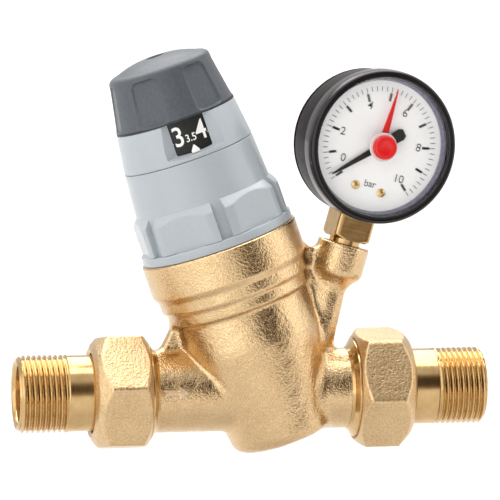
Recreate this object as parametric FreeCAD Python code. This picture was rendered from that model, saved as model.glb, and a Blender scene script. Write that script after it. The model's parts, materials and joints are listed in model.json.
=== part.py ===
"""Pressure reducing valve, DN 20 (3/4"), with union tails and a 0 to 10 bar gauge.

Frame, in millimetres: the origin is the centre of the inlet tail's end face, +X runs along
the pipe towards the outlet, +Z is up and the gauge faces the front, -Y.
Three local frames carry the rest. In the cartridge frame z runs up the inclined cartridge
axis from the pipe axis. In the gauge frame z runs up the gauge's stem from its boss. In the
dial frame z runs out of the dial, y up the stem, from the point where the two axes meet.
"""
import FreeCAD, Part
import math
import os

V = FreeCAD.Vector
os.makedirs("parts", exist_ok=True)

# ---------------------------------------------------------------- driving dimensions
OVERALL_LENGTH = 160.0
PIPE_THREAD_R = 26.441 / 2          # G 3/4, basic size, on the inlet
OUTLET_THREAD_R = 13.06             # G 3/4 again, within class B, so the two ends measure apart
PIPE_PITCH = 1.814
UNION_THREAD_R = 33.249 / 2         # G 1
THREAD_DEPTH = 0.6403               # of a 55 degree pipe thread, as a share of the pitch
THREAD_CREST = 0.22                 # flat of a crest or root, as a share of the pitch
GAP = 0.05                          # running clearance on a radius

# pipe ends, measured from each end face
TAIL_BORE_R = 10.0
TAIL_THREAD_LENGTH = 16.4
TAIL_PLAIN_R = 12.88
TAIL_FLANGE_START = 28.8
TAIL_FLANGE_END = 32.2
TAIL_FLANGE_R = 14.9
GASKET_END = 34.2
NUT_START = 25.1
NUT_END = 44.4
NUT_ACROSS_FLATS = 37.0
NUT_INNER_SHOULDER = 28.6
PORT_BORE_R = 9.5
INLET_PORT_R = 13.9
OUTLET_PORT_R = 13.6
INLET_NUT_TURN = 9.6                # degrees from a corner at the front
OUTLET_NUT_TURN = -7.1

# cartridge axis
AXIS_X = 86.5
AXIS_TILT = 19.0
BARREL_BOTTOM = -17.8
COLLAR_BOTTOM = 42.3
COLLAR_TOP = 53.7
COLLAR_R = 27.2
COVER_BORE_R = 22.8
CHAMBER_R = 17.0
HOUSING_BORE_R = 18.5
LOWER_CHAMBER_R = 13.0
LOWER_CHAMBER_BOTTOM = -14.0
PARTITION_BOTTOM = -3.5
PARTITION_TOP = -0.5
SPIGOT_BORE_R = 11.5
STEM_R = 3.0
STEM_TRAVEL = 2.5
SEAT_FACE = -4.5
DIAPHRAGM_BOTTOM = 43.0
DIAPHRAGM_TOP = 44.2
PISTON_BORE_R = 8.0
WIRE_R = 2.0
SPRING_R = 12.3
SPRING_TURNS = 4.5
SPRING_NUT_BOTTOM = 78.0
SPRING_NUT_TOP = 83.0
SPINDLE_R = 5.0

# cover and knob
SKIRT_R = 26.4
PAD_BOTTOM = 57.3
PAD_TOP = 67.7
SEAM = 85.0
COLLAR_RING_TOP = 98.5
KNOB_BOTTOM = 98.9
KNOB_TOP = 118.8
KNOB_R = 20.7
KNOB_TAPER = 10.5
RECESS_DEPTH = 0.9
WINDOW_BOTTOM = 87.5
WINDOW_HALF_WIDTH = 6.3
SCALE_R = 19.0
FINGER_ANGLES = (0, 60, 120, 180, 240, 300)

# gauge
GAUGE_X = 112.4
GAUGE_Z = 49.2
GAUGE_TILT = 16.2
GAUGE_TURN = 9.2
BOSS_R = 8.65
BOSS_HEIGHT = 10.0
GAUGE_THREAD_R = 6.5
DIAL_HEIGHT = 35.1
DIAL_FACE = 6.6
CASE_R = 25.0
CASE_BACK = -11.6
BEZEL_R = 26.2
BEZEL_FRONT = 11.4
BEZEL_BACK = 4.4
BEZEL_OPENING_R = 23.4
DIAL_R = 22.6
SCALE_TURN = 3.0                    # the printed scale, degrees past the stem
REST_PRESSURE = 0.17                # where the black pointer stands, in bar
SET_PRESSURE = 5.15                 # where the red pointer stands, in bar
DEGREES_PER_BAR = 27.0
SECTOR_R = 9.0
PINION_R = 1.0
GEAR_GAP = 0.08


# ---------------------------------------------------------------- frames
def frame_at(base, axis, degrees, inner=None):
    """Returns a placement, after an optional inner one."""
    placement = FreeCAD.Placement(base, FreeCAD.Rotation(axis, degrees))
    return placement.multiply(inner) if inner else placement


CARTRIDGE = frame_at(V(AXIS_X, 0, 0), V(0, 1, 0), -AXIS_TILT)
GAUGE_AXIS = frame_at(V(GAUGE_X, 0, GAUGE_Z), V(0, 1, 0), GAUGE_TILT)
GAUGE = GAUGE_AXIS.multiply(frame_at(V(0, 0, 0), V(0, 0, 1), GAUGE_TURN))
DIAL = GAUGE.multiply(frame_at(V(0, 0, DIAL_HEIGHT), V(1, 0, 0), 90))
INLET = frame_at(V(0, 0, 0), V(0, 1, 0), 90)
OUTLET = frame_at(V(OVERALL_LENGTH, 0, 0), V(0, 1, 0), -90)


def place(shape, placement):
    return shape.transformed(placement.toMatrix(), True)


# ---------------------------------------------------------------- shape helpers
def corner(before, point, after, radius):
    """Returns the two tangent points and the middle of an arc that rounds a corner."""
    to_before = (before - point).normalize()
    to_after = (after - point).normalize()
    half = math.acos(max(-1, min(1, to_before.dot(to_after)))) / 2
    reach = radius / math.tan(half)
    bisector = (to_before + to_after).normalize()
    middle = point + bisector * (radius / math.sin(half) - radius)
    return point + to_before * reach, middle, point + to_after * reach


def outline(points, to_3d):
    """Makes a closed wire from (a, b) or (a, b, corner radius) entries."""
    flat = [to_3d(p[0], p[1]) for p in points]
    radii = [p[2] if len(p) > 2 else 0 for p in points]
    edges = []
    first = last = None
    for i, point in enumerate(flat):
        start, end = point, point
        if radii[i]:
            start, middle, end = corner(flat[i - 1], point, flat[(i + 1) % len(flat)], radii[i])
        if last is None:
            first = start
        elif last.distanceToPoint(start) > 1e-7:
            edges.append(Part.LineSegment(last, start).toShape())
        if radii[i]:
            edges.append(Part.Arc(start, middle, end).toShape())
        last = end
    if last.distanceToPoint(first) > 1e-7:
        edges.append(Part.LineSegment(last, first).toShape())
    return Part.Wire(edges)


def turned(points):
    """Turns a profile of (radius, z) points about z."""
    face = Part.Face(outline(points, lambda r, z: V(r, 0, z)))
    return face.revolve(V(0, 0, 0), V(0, 0, 1), 360)


def plate(points, z, thickness):
    """Extrudes an outline of (x, y) points upwards from z."""
    face = Part.Face(outline(points, lambda x, y: V(x, y, z)))
    return face.extrude(V(0, 0, thickness))


def side_plate(points, thickness):
    """Extrudes an outline of (x, z) points, half to each side of the XZ plane."""
    face = Part.Face(outline(points, lambda x, z: V(x, -thickness / 2, z)))
    return face.extrude(V(0, thickness, 0))


def rod(radius, z0, z1, x=0, y=0):
    return Part.makeCylinder(radius, z1 - z0, V(x, y, z0))


def tube(outer, inner, z0, z1):
    return rod(outer, z0, z1).cut(rod(inner, z0 - 1, z1 + 1))


def block(x0, x1, y0, y1, z0, z1):
    return Part.makeBox(x1 - x0, y1 - y0, z1 - z0, V(x0, y0, z0))


def spun(shape, degrees):
    return shape.rotated(V(0, 0, 0), V(0, 0, 1), degrees)


def around(shape, angles):
    return [spun(shape, angle) for angle in angles]


def prism(across_flats, z0, z1, degrees=0):
    """Makes a hexagonal prism with a corner on +x, turned by the angle."""
    radius = across_flats / math.sqrt(3)
    points = []
    for i in range(6):
        angle = math.radians(60 * i + degrees)
        points.append((radius * math.cos(angle), radius * math.sin(angle)))
    return plate(points, z0, z1 - z0)


def o_ring(radius, section, z):
    return Part.makeTorus(radius, section, V(0, 0, z))


def thread_ridge_points(crest_r, pitch, z0, count):
    """Profile points of a row of closed thread ridges, in rising z."""
    root_r = crest_r - THREAD_DEPTH * pitch
    flat = THREAD_CREST * pitch
    slope = (pitch - 2 * flat) / 2
    points = []
    for i in range(count):
        z = z0 + i * pitch
        points += [(crest_r, z), (crest_r, z + flat), (root_r, z + flat + slope)]
        points.append((root_r, z + 2 * flat + slope))
    return points


# ---------------------------------------------------------------- unions
def pipe_thread_count():
    return int(TAIL_THREAD_LENGTH / PIPE_PITCH)


def tail(crest_r):
    """Threaded tail, its end face at z 0 and its flange away from it."""
    lead = 0.4
    ridges = thread_ridge_points(crest_r, PIPE_PITCH, lead, pipe_thread_count())
    thread_end = ridges[-1][1]
    points = [(TAIL_BORE_R + 0.6, 0), (crest_r - lead, 0)]
    points += ridges
    points += [(TAIL_PLAIN_R, thread_end + 0.6), (TAIL_PLAIN_R, TAIL_FLANGE_START)]
    points += [(TAIL_FLANGE_R, TAIL_FLANGE_START), (TAIL_FLANGE_R, TAIL_FLANGE_END)]
    points += [(TAIL_BORE_R, TAIL_FLANGE_END), (TAIL_BORE_R, 0.6)]
    return turned(points)


def gasket():
    return tube(TAIL_FLANGE_R - 0.1, TAIL_BORE_R + 0.4, TAIL_FLANGE_END, GASKET_END)


def union_nut(degrees):
    """Hexagonal union nut with its inner shoulder towards the pipe's end."""
    corner_r = NUT_ACROSS_FLATS / math.sqrt(3) + 0.1
    shape = prism(NUT_ACROSS_FLATS, NUT_START, NUT_END, degrees)
    envelope = turned([
        (0, NUT_START), (16.0, NUT_START), (17.6, NUT_START + 1.0),
        (corner_r, NUT_START + 5.3), (corner_r, NUT_END - 3.2), (17.6, NUT_END), (0, NUT_END)])
    bore_r = UNION_THREAD_R + GAP
    bore = turned([
        (0, NUT_START - 1), (PIPE_THREAD_R + 0.9, NUT_START - 1),
        (PIPE_THREAD_R + 0.9, NUT_START + 0.01), (PIPE_THREAD_R + 0.3, NUT_START + 0.6),
        (PIPE_THREAD_R + 0.3, NUT_INNER_SHOULDER), (bore_r, NUT_INNER_SHOULDER),
        (bore_r, NUT_END + 1), (0, NUT_END + 1)])
    return shape.common(envelope).cut(bore)


def make_unions():
    parts = {}
    nut_angles = {"inlet": 90 - INLET_NUT_TURN, "outlet": 90 + OUTLET_NUT_TURN}
    crests = {"inlet": PIPE_THREAD_R, "outlet": OUTLET_THREAD_R}
    for side, placement in (("inlet", INLET), ("outlet", OUTLET)):
        parts[side + "_tail"] = place(tail(crests[side]), placement)
        parts[side + "_gasket"] = place(gasket(), placement)
        parts[side + "_union_nut"] = place(union_nut(nut_angles[side]), placement)
    return parts


# ---------------------------------------------------------------- valve body
def port(outer_r, reach):
    """Solid port along z from its end face, plain over its union thread, to the barrel."""
    return turned([
        (0, GASKET_END), (UNION_THREAD_R - 0.9, GASKET_END), (UNION_THREAD_R, GASKET_END + 0.9),
        (UNION_THREAD_R, NUT_END + 0.4), (outer_r, NUT_END + 2.2), (outer_r, reach), (0, reach)])


def barrel():
    """Cast barrel with its stepped neck and collar, in the cartridge frame."""
    return turned([
        (0, BARREL_BOTTOM), (17.3, BARREL_BOTTOM, 4.5), (23.4, 18, 20), (22.6, 30.5, 1.5),
        (24.3, 31.8, 1.0), (24.5, 35.2, 0.8), (25.7, 36.6, 1.0), (25.9, 40.2, 0.8),
        (COLLAR_R, COLLAR_BOTTOM, 1.0), (COLLAR_R, COLLAR_TOP, 0.5), (0, COLLAR_TOP)])


def gauge_boss():
    """Boss, pillar and bottom taper of the gauge connection, in the gauge frame."""
    return turned([
        (0, -36), (6.0, -36), (4.7, -BOSS_HEIGHT - 4), (BOSS_R - 0.4, -BOSS_HEIGHT - 0.6, 1.5),
        (BOSS_R, -BOSS_HEIGHT + 1.0), (BOSS_R, 0, 0.5), (0, 0)])


def webs():
    """Cast web between the barrel and the gauge pillar, and the gusset over the inlet."""
    right = side_plate([
        (100, 10), (107.5, 12), (104.5, 20), (107, 36), (106, 47.5), (92, 49.5), (88, 40)], 7.0)
    left = side_plate([(47.8, 12), (49.2, 14.4, 2), (54.5, 25), (64, 25), (64, 8)], 6.0)
    return right.fuse(left)


def flow_arrow():
    """Raised arrow on the front of the inlet port, pointing at the outlet."""
    outer = [
        (48.5, 0.3), (53.0, 0.3), (53.0, -1.2), (56.5, 1.0), (53.0, 3.2), (53.0, 1.7), (48.5, 1.7)]
    face = Part.Face(outline(outer, lambda x, z: V(x, -INLET_PORT_R - 0.5, z)))
    return face.extrude(V(0, 2.0, 0))


def body_cavity():
    """Chambers of the cartridge, in the cartridge frame."""
    return turned([
        (0, LOWER_CHAMBER_BOTTOM), (LOWER_CHAMBER_R, LOWER_CHAMBER_BOTTOM, 2),
        (LOWER_CHAMBER_R, PARTITION_BOTTOM), (SPIGOT_BORE_R, PARTITION_BOTTOM),
        (SPIGOT_BORE_R, PARTITION_TOP), (CHAMBER_R, PARTITION_TOP), (CHAMBER_R, 28),
        (HOUSING_BORE_R, 29), (HOUSING_BORE_R, 40), (COVER_BORE_R, 40),
        (COVER_BORE_R, COLLAR_TOP + 1), (0, COLLAR_TOP + 1)])


def waterways():
    """Port bores, each stopped short of the chamber that it doesn't feed."""
    inlet = place(rod(PORT_BORE_R, GASKET_END - 1, 84), INLET)
    below = place(Part.makeBox(80, 80, 40, V(-40, -40, PARTITION_TOP - 40)), CARTRIDGE)
    outlet = place(rod(PORT_BORE_R, GASKET_END - 1, 72), OUTLET)
    above = place(rod(CHAMBER_R + 2.5, PARTITION_BOTTOM, 40), CARTRIDGE)
    return inlet.cut(below), outlet.cut(above)


def gauge_passage():
    """Threaded hole of the gauge and the fine drilling down to the outlet."""
    hole = place(rod(GAUGE_THREAD_R + GAP, -12, 1), GAUGE)
    top = V(107.6, 0, 39)
    bottom = V(105.8, 0, 7)
    drilling = Part.makeCylinder(1.0, top.distanceToPoint(bottom), bottom, top - bottom)
    return hole, drilling


def make_body():
    shape = place(barrel(), CARTRIDGE)
    solids = [
        place(port(INLET_PORT_R, 76), INLET), place(port(OUTLET_PORT_R, 68), OUTLET),
        place(gauge_boss(), GAUGE_AXIS), webs(), flow_arrow()]
    shape = shape.multiFuse(solids)
    cuts = [place(body_cavity(), CARTRIDGE)]
    cuts += waterways()
    cuts += gauge_passage()
    return {"valve_body": shape.cut(cuts).removeSplitter()}


# ---------------------------------------------------------------- cartridge
def cartridge_housing():
    """Guide of the stem: spigot, four pillars round the windows, and the upper flange."""
    shape = turned([
        (9.95, -4), (11.45, -4), (11.45, 1.0), (15.2, 1.0), (15.2, 2.4), (14.2, 2.4),
        (14.2, 20.6), (16.8, 20.6), (16.8, 28.0), (18.3, 29.6), (18.3, 40.0), (22.5, 40.0),
        (22.5, DIAPHRAGM_BOTTOM), (18.0, DIAPHRAGM_BOTTOM), (18.0, 37.0, 1.0),
        (STEM_R + 4.0, 37.0), (STEM_R + 4.0, 34.0), (PISTON_BORE_R, 34.0), (PISTON_BORE_R, 20.6),
        (10.6, 18.5), (10.6, 3.4), (9.95, 3.4)])
    shape = shape.cut(o_ring_groove(17.7, 32.0, 18.3))
    shape = shape.cut(o_ring_groove(10.9, -1.6, 11.45))
    window = block(5, 16, -5.5, 5.5, 4.4, 18.0)
    shape = shape.cut(around(window, (45, 135, 225, 315)))
    return shape.cut(rod(0.8, 30, 38, 12))


def o_ring_groove(radius, z, surface_r):
    depth_r = radius - 0.78
    return tube(surface_r + 1, depth_r, z - 0.95, z + 0.95)


def seat_ring():
    return turned([
        (7.0, SEAT_FACE), (7.8, SEAT_FACE), (8.4, -4.0), (9.9, -4.0), (9.9, 3.3), (8.6, 3.3),
        (7.0, 1.8)])


def strainer():
    """Cylindrical strainer, its mesh as rows of slots."""
    shape = tube(14.9, 14.5, 2.5, 20.5)
    slot = block(13, 16, -1.1, 1.1, 0, 1.6)
    slots = []
    for row in range(5):
        raised = slot.translated(V(0, 0, 4.2 + 3.2 * row))
        slots += around(raised, range(0, 360, 20))
    return shape.cut(slots)


def valve_stem():
    """Stem with its piston and the shoulders of its discs."""
    return turned([
        (0, -12.0), (STEM_R, -12.0, 0.5), (STEM_R, 24.0), (PISTON_BORE_R - 0.55, 24.0),
        (PISTON_BORE_R - 0.55, 31.0), (5.4, 31.0), (5.4, 40.0), (STEM_R, 40.0), (STEM_R, 51.5, 0.5),
        (0, 51.5)])


def piston_sleeve():
    """Low-friction guide of the compensating piston, with its ring groove."""
    inner = PISTON_BORE_R - 0.55
    return turned([
        (inner, 24.0), (PISTON_BORE_R - GAP, 24.0), (PISTON_BORE_R - GAP, 26.6), (inner + 0.1, 26.6),
        (inner + 0.1, 28.4), (PISTON_BORE_R - GAP, 28.4), (PISTON_BORE_R - GAP, 31.0), (inner, 31.0)])


def obturator():
    open_face = SEAT_FACE - STEM_TRAVEL
    carrier = turned([
        (STEM_R, -11.4), (6.5, -11.4), (8.8, -9.6), (8.8, open_face - 0.2), (8.4, open_face - 0.2),
        (8.4, open_face - 1.6), (STEM_R, open_face - 1.6)])
    seal = tube(8.3, STEM_R, open_face - 1.6, open_face)
    return carrier, seal


def pressure_spring():
    """Round-wire compression spring between the diaphragm plate and the spring nut."""
    bottom = 47.0 + WIRE_R
    height = SPRING_NUT_BOTTOM - WIRE_R - bottom
    helix = Part.makeHelix(height / SPRING_TURNS, height, SPRING_R)
    profile = Part.Wire(Part.Circle(V(SPRING_R, 0, 0), V(0, 1, 0), WIRE_R - 0.1).toShape())
    coil = Part.Wire(helix.Edges).makePipeShell([profile], True, True)
    return coil.translated(V(0, 0, bottom))


def make_cartridge():
    carrier, seal = obturator()
    shapes = {
        "cartridge_housing": cartridge_housing(),
        "housing_o_ring": o_ring(17.7, 0.74, 32.0),
        "spigot_o_ring": o_ring(10.9, 0.56, -1.6),
        "seat_ring": seat_ring(),
        "strainer": strainer(),
        "valve_stem": valve_stem(),
        "piston_sleeve": piston_sleeve(),
        "piston_seal": tube(PISTON_BORE_R - 0.02, PISTON_BORE_R - 0.44, 26.7, 28.3),
        "obturator": carrier,
        "obturator_seal": seal,
        "diaphragm_lower_plate": turned([
            (STEM_R, 40.0), (10, 40.0), (13, 41.2, 1), (13, DIAPHRAGM_BOTTOM), (STEM_R, 43.0)]),
        "diaphragm": tube(22.4, STEM_R, DIAPHRAGM_BOTTOM, DIAPHRAGM_TOP),
        "diaphragm_upper_plate": turned([
            (STEM_R, DIAPHRAGM_TOP), (14.8, DIAPHRAGM_TOP), (14.8, 47.0), (9.4, 47.0),
            (9.4, 48.2), (8.2, 48.2), (8.2, 46.2), (STEM_R, 46.2)]),
        "stem_nut": prism(10, 46.2, 50.2).cut(rod(STEM_R, 45, 52)),
        "pressure_spring": pressure_spring(),
    }
    return {name: place(shape, CARTRIDGE) for name, shape in shapes.items()}


# ---------------------------------------------------------------- cover and adjustment
def bell_cover():
    """Plastic bell cover with its spigot, wrench pads and spring chamber."""
    shape = turned([
        (20.4, 45.3), (22.6, 45.3, 0.4), (22.6, COLLAR_TOP + 0.05), (SKIRT_R, COLLAR_TOP + 0.05),
        (SKIRT_R, PAD_BOTTOM - 0.5, 0.5), (24.4, PAD_BOTTOM + 0.5), (23.9, 70), (22.5, SEAM),
        (19.0, SEAM), (17.8, SEAM + 0.2), (17.8, 97.2), (SPINDLE_R + GAP, 97.2),
        (SPINDLE_R + GAP, 94.2), (16.2, 94.2), (16.2, 84.8), (18.6, 82.4, 1), (19.0, 66.0, 4),
        (20.4, 58.0)])
    pads = turned([
        (22, PAD_BOTTOM - 0.4), (25.9, PAD_BOTTOM - 0.4, 0.4), (25.5, PAD_TOP - 1.6, 1.2),
        (23.9, PAD_TOP + 1.6), (22, PAD_TOP + 1.6)])
    groove = block(20, 30, -2.0, 2.0, PAD_BOTTOM, PAD_TOP + 4)
    pads = pads.cut(around(groove, range(30, 390, 60)))
    shape = shape.fuse(pads)
    rib = block(14.9, 20.8, -1.5, 1.5, 70, 89)
    inside = turned([(14.9, 70), (19.6, 70), (19.2, 82.6), (16.8, 85.4), (16.8, 88), (14.9, 89)])
    ribs = [one.common(inside) for one in around(rib, (45, 135, 225, 315))]
    return shape.multiFuse(ribs).removeSplitter()


def indicator_collar():
    """Ring over the scale, with a window at the front and one at the back."""
    shape = turned([
        (SCALE_R + 0.25, SEAM + 0.2), (22.5, SEAM + 0.2, 0.2), (20.7, COLLAR_RING_TOP, 0.3),
        (SCALE_R + 0.25, COLLAR_RING_TOP)])
    half = WINDOW_HALF_WIDTH
    window = block(-half, half, -30, 30, WINDOW_BOTTOM, COLLAR_RING_TOP + 1)
    return shape.cut(window)


def control_knob():
    """Knob with six finger recesses, open underneath."""
    outer = turned([
        (0, KNOB_BOTTOM), (KNOB_R, KNOB_BOTTOM, 0.3), (17.2, KNOB_TOP - 1.8, 3.5), (0, KNOB_TOP + 0.6)])
    recess = block(0, 6, -5.2, 5.2, 1.9, 16.0)
    recess = recess.rotated(V(0, 0, 0), V(0, 1, 0), -KNOB_TAPER)
    recess = recess.translated(V(KNOB_R - RECESS_DEPTH, 0, KNOB_BOTTOM))
    outer = outer.cut(around(recess, FINGER_ANGLES))
    inner = turned([
        (0, KNOB_BOTTOM - 1), (SCALE_R + 0.05, KNOB_BOTTOM - 1), (SCALE_R + 0.05, 99.5),
        (17.2, 99.5), (14.6, 115.6), (8.0, 115.8), (8.0, 104.0), (5.0, 104.0), (5.0, 115.0),
        (0, 115.0)])
    recess_top = rod(2.6, 112, KNOB_TOP + 1)
    return outer.cut([inner, recess_top])


def scale_ring():
    return turned([
        (18.1, 86.6), (SCALE_R, 86.6), (SCALE_R, 99.5), (17.3, 99.5), (17.3, 98.6), (18.1, 98.6)])


def adjusting_spindle():
    """Spindle with its thrust flange under the cover's head and its end in the knob's hub."""
    return turned([
        (0, 68.0), (SPINDLE_R, 68.0, 0.6), (SPINDLE_R, 92.0), (9.0, 92.0), (9.0, 94.1),
        (SPINDLE_R, 94.1), (SPINDLE_R, 114.9), (1.9, 114.9), (1.9, 104.5), (0, 104.5)])


def lock_screw():
    shape = turned([
        (0, 105.0), (1.85, 105.0), (1.85, 115.1), (2.5, 115.1), (2.5, 117.4, 0.3), (0, 117.4)])
    return shape.cut(prism(2.5, 115.6, 118))


def spring_nut():
    """Spring plate that screws along the spindle and is keyed in the cover's ribs."""
    shape = turned([
        (SPINDLE_R + GAP, SPRING_NUT_BOTTOM), (15.9, SPRING_NUT_BOTTOM), (15.9, 80.6, 0.5),
        (9.5, SPRING_NUT_TOP, 1), (SPINDLE_R + GAP, SPRING_NUT_TOP)])
    notch = block(14.5, 20, -1.8, 1.8, 70, 90)
    return shape.cut(around(notch, (45, 135, 225, 315)))


def make_cover():
    shapes = {
        "slip_ring": tube(22.4, 19.6, DIAPHRAGM_TOP, 45.2),
        "bell_cover": bell_cover(),
        "indicator_collar": indicator_collar(),
        "control_knob": control_knob(),
        "scale_ring": scale_ring(),
        "adjusting_spindle": adjusting_spindle(),
        "lock_screw": lock_screw(),
        "spring_nut": spring_nut(),
    }
    return {name: place(shape, CARTRIDGE) for name, shape in shapes.items()}


# ---------------------------------------------------------------- gauge
def gauge_socket():
    """Socket of the gauge: thread, relief, wrench square and the block inside the case."""
    shape = turned([
        (1.2, -11.0), (4.9, -11.0), (GAUGE_THREAD_R, -10.0), (GAUGE_THREAD_R, -1.4), (5.3, -1.0),
        (5.3, 2.2), (5.3, 8.6), (4.2, 8.6), (4.2, 17.0), (1.2, 17.0)])
    square = block(-6.5, 6.5, -6.5, 6.5, 2.2, 8.6)
    envelope = turned([(0, 2.2), (7.6, 2.2), (8.9, 3.4), (8.9, 8.6), (0, 8.6)])
    shape = shape.fuse(square.common(envelope).cut(rod(5, 0, 12)))
    top = block(-5, 5, -3.0, 4.6, 13.0, 20.0)
    return shape.fuse(top.cut(rod(1.2, 12, 17)))


def gauge_seal():
    """Seal round the relief of the thread, inside the mouth of the boss."""
    return tube(GAUGE_THREAD_R, 5.32, -0.95, -0.1)


def gauge_case():
    """Pressed case, closed at the back, with the hole of the socket underneath."""
    shape = turned([
        (0, CASE_BACK), (CASE_R, CASE_BACK, 3.0), (CASE_R, BEZEL_FRONT - 1.6),
        (CASE_R - 1.0, BEZEL_FRONT - 1.6), (CASE_R - 1.0, CASE_BACK + 1.0, 2.2),
        (0, CASE_BACK + 1.0)])
    hole = Part.makeCylinder(4.3, 12, V(0, -18, 0), V(0, -1, 0))
    return shape.cut(hole)


def gauge_bezel():
    outer = BEZEL_R
    return turned([
        (CASE_R + 0.02, BEZEL_BACK), (outer, BEZEL_BACK, 0.3), (outer, BEZEL_FRONT, 1.1),
        (BEZEL_OPENING_R, BEZEL_FRONT, 0.5), (BEZEL_OPENING_R, BEZEL_FRONT - 1.4),
        (CASE_R + 0.02, BEZEL_FRONT - 1.4)])


def gauge_window():
    """Clear disc with a bevelled edge and the hole of the set pointer's shaft."""
    back = DIAL_FACE + 2.2
    return turned([
        (1.55, back), (DIAL_R, back), (CASE_R - 1.1, BEZEL_FRONT - 2.2),
        (CASE_R - 1.1, BEZEL_FRONT - 1.5), (BEZEL_OPENING_R - 0.1, BEZEL_FRONT - 1.4),
        (DIAL_R - 0.8, back + 1.2), (1.55, back + 1.2)])


def gauge_dial():
    shape = rod(CASE_R - 1.1, DIAL_FACE - 0.6, DIAL_FACE)
    holes = [rod(2.2, 0, 10)]
    holes += [rod(0.85, 0, 10, x, y) for x, y in dial_screw_places()]
    return shape.cut(holes)


def dial_screw_places():
    return [(-5.2, -14.5), (4.2, -15.3)]


def dial_screws():
    screws = []
    for x, y in dial_screw_places():
        head = Part.makeCone(1.5, 1.1, 0.7, V(x, y, DIAL_FACE))
        shank = rod(0.8, DIAL_FACE - 2.4, DIAL_FACE, x, y)
        slot = block(x - 2, x + 2, y - 0.15, y + 0.15, DIAL_FACE + 0.4, DIAL_FACE + 1)
        screws.append(head.fuse(shank).cut(slot))
    return Part.makeCompound(screws)


def movement_plates():
    """Front and back plates of the movement with their two pillars."""
    outer = [(-8, -13), (8, -13, 2), (8, 4, 3), (3, 8, 3), (-3, 8, 3), (-8, 4, 3)]
    back = plate(outer, -3.4, 0.8)
    front = plate(outer, 3.4, 0.8)
    pillars = [rod(1.0, -2.6, 3.4, x, 5.0) for x in (-4, 4)]
    feet = [rod(1.2, -2.6, 3.4, x, -11.4) for x in (-6, 6)]
    shape = back.multiFuse([front] + pillars + feet)
    holes = [rod(0.55, -6, 6), rod(0.65, -6, 6, 0, -SECTOR_R - PINION_R - GEAR_GAP)]
    return shape.cut(holes)


def bourdon_tube():
    """Flat C-shaped tube from the socket round to its closed tip."""
    ring = tube(18.6, 17.0, -8.4, -4.6)
    gap = plate([(0, 0), (-40, -8), (-40, -40), (-2.8, -40)], -10, 10)
    return ring.cut(gap)


def toothed_sector():
    """Sector on its arbor below the centre, its rim at the pinion."""
    pivot_y = -SECTOR_R - PINION_R - GEAR_GAP
    half = math.radians(36)
    reach = 1.5 * SECTOR_R
    side = (reach * math.sin(half), reach * math.cos(half))
    wedge = plate([(0, -1.5), side, (-side[0], side[1])], -0.4, 0.8)
    disc = rod(SECTOR_R, -0.4, 0.4)
    arm = block(-4.2, 0, -1.0, 1.0, -0.4, 0.4)
    arbor = rod(0.6, -3.3, 4.1)
    shape = wedge.common(disc).fuse(arm).fuse(rod(1.6, -0.4, 0.4)).fuse(arbor)
    return shape.translated(V(0, pivot_y, 0))


def pointer_arbor():
    """Arbor with its pinion, carrying the black pointer."""
    return rod(0.5, -3.3, DIAL_FACE + 1.5).fuse(rod(PINION_R, -0.6, 0.6))


def hairspring():
    """Flat spiral spring round the arbor."""
    turns = []
    for i in range(4):
        turns.append(tube(1.5 + 0.5 * i, 1.35 + 0.5 * i, 1.6, 2.1))
    bridge = block(1.4, 3.1, -0.1, 0.1, 1.6, 2.1)
    return turns[0].multiFuse(turns[1:] + [bridge])


def pointer(length, tail_length):
    """Tapered needle along +y with a rounded tail and a hub."""
    needle = plate([(-0.75, 0), (0.75, 0), (0.16, length), (-0.16, length)], 0, 0.3)
    tail = plate([(-0.9, 0), (-1.3, -tail_length, 0.8), (1.3, -tail_length, 0.8), (0.9, 0)], 0, 0.3)
    return needle.fuse(tail).fuse(rod(2.1, 0, 0.5))


def black_pointer():
    shape = pointer(19.4, 9.0).cut(rod(0.5, -1, 2)).translated(V(0, 0, DIAL_FACE + 0.9))
    return spun(shape, SCALE_TURN + (5 - REST_PRESSURE) * DEGREES_PER_BAR)


def set_pointer():
    """Red index needle under the window."""
    shape = pointer(19.7, 3.0).cut(rod(0.9, -1, 2)).translated(V(0, 0, DIAL_FACE + 1.65))
    return spun(shape, SCALE_TURN + (5 - SET_PRESSURE) * DEGREES_PER_BAR)


def set_pointer_knob():
    """Red button outside the window, with its shaft and a clear ring below it."""
    front = DIAL_FACE + 3.4
    shaft = rod(1.5, DIAL_FACE + 2.16, front).fuse(rod(0.9, DIAL_FACE + 1.65, DIAL_FACE + 2.16))
    collar = rod(4.9, front + 0.05, front + 0.75)
    button = turned([
        (0, front + 0.75), (3.75, front + 0.75), (3.75, front + 3.4, 0.6), (0, front + 3.4)])
    return shaft.fuse(rod(1.5, front, front + 0.05)).fuse(collar).fuse(button)


def make_gauge():
    on_stem = {"gauge_socket": gauge_socket(), "gauge_seal": gauge_seal()}
    on_dial = {
        "gauge_case": gauge_case(),
        "gauge_bezel": gauge_bezel(),
        "gauge_window": gauge_window(),
        "gauge_dial": gauge_dial(),
        "dial_screws": dial_screws(),
        "movement_plates": movement_plates(),
        "bourdon_tube": bourdon_tube(),
        "toothed_sector": toothed_sector(),
        "pointer_arbor": pointer_arbor(),
        "hairspring": hairspring(),
        "black_pointer": black_pointer(),
        "set_pointer": set_pointer(),
        "set_pointer_knob": set_pointer_knob(),
    }
    parts = {name: place(shape, GAUGE) for name, shape in on_stem.items()}
    parts.update({name: place(shape, DIAL) for name, shape in on_dial.items()})
    return parts


# ---------------------------------------------------------------- build
def main():
    parts = {}
    for make in (make_body, make_unions, make_cartridge, make_cover, make_gauge):
        parts.update(make())
    for name, shape in parts.items():
        if not shape.isValid():
            print("not valid:", name)
        shape.exportStep(os.path.join("parts", name + ".step"))
        print(name, len(shape.Solids), round(shape.Volume))


main()
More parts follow.
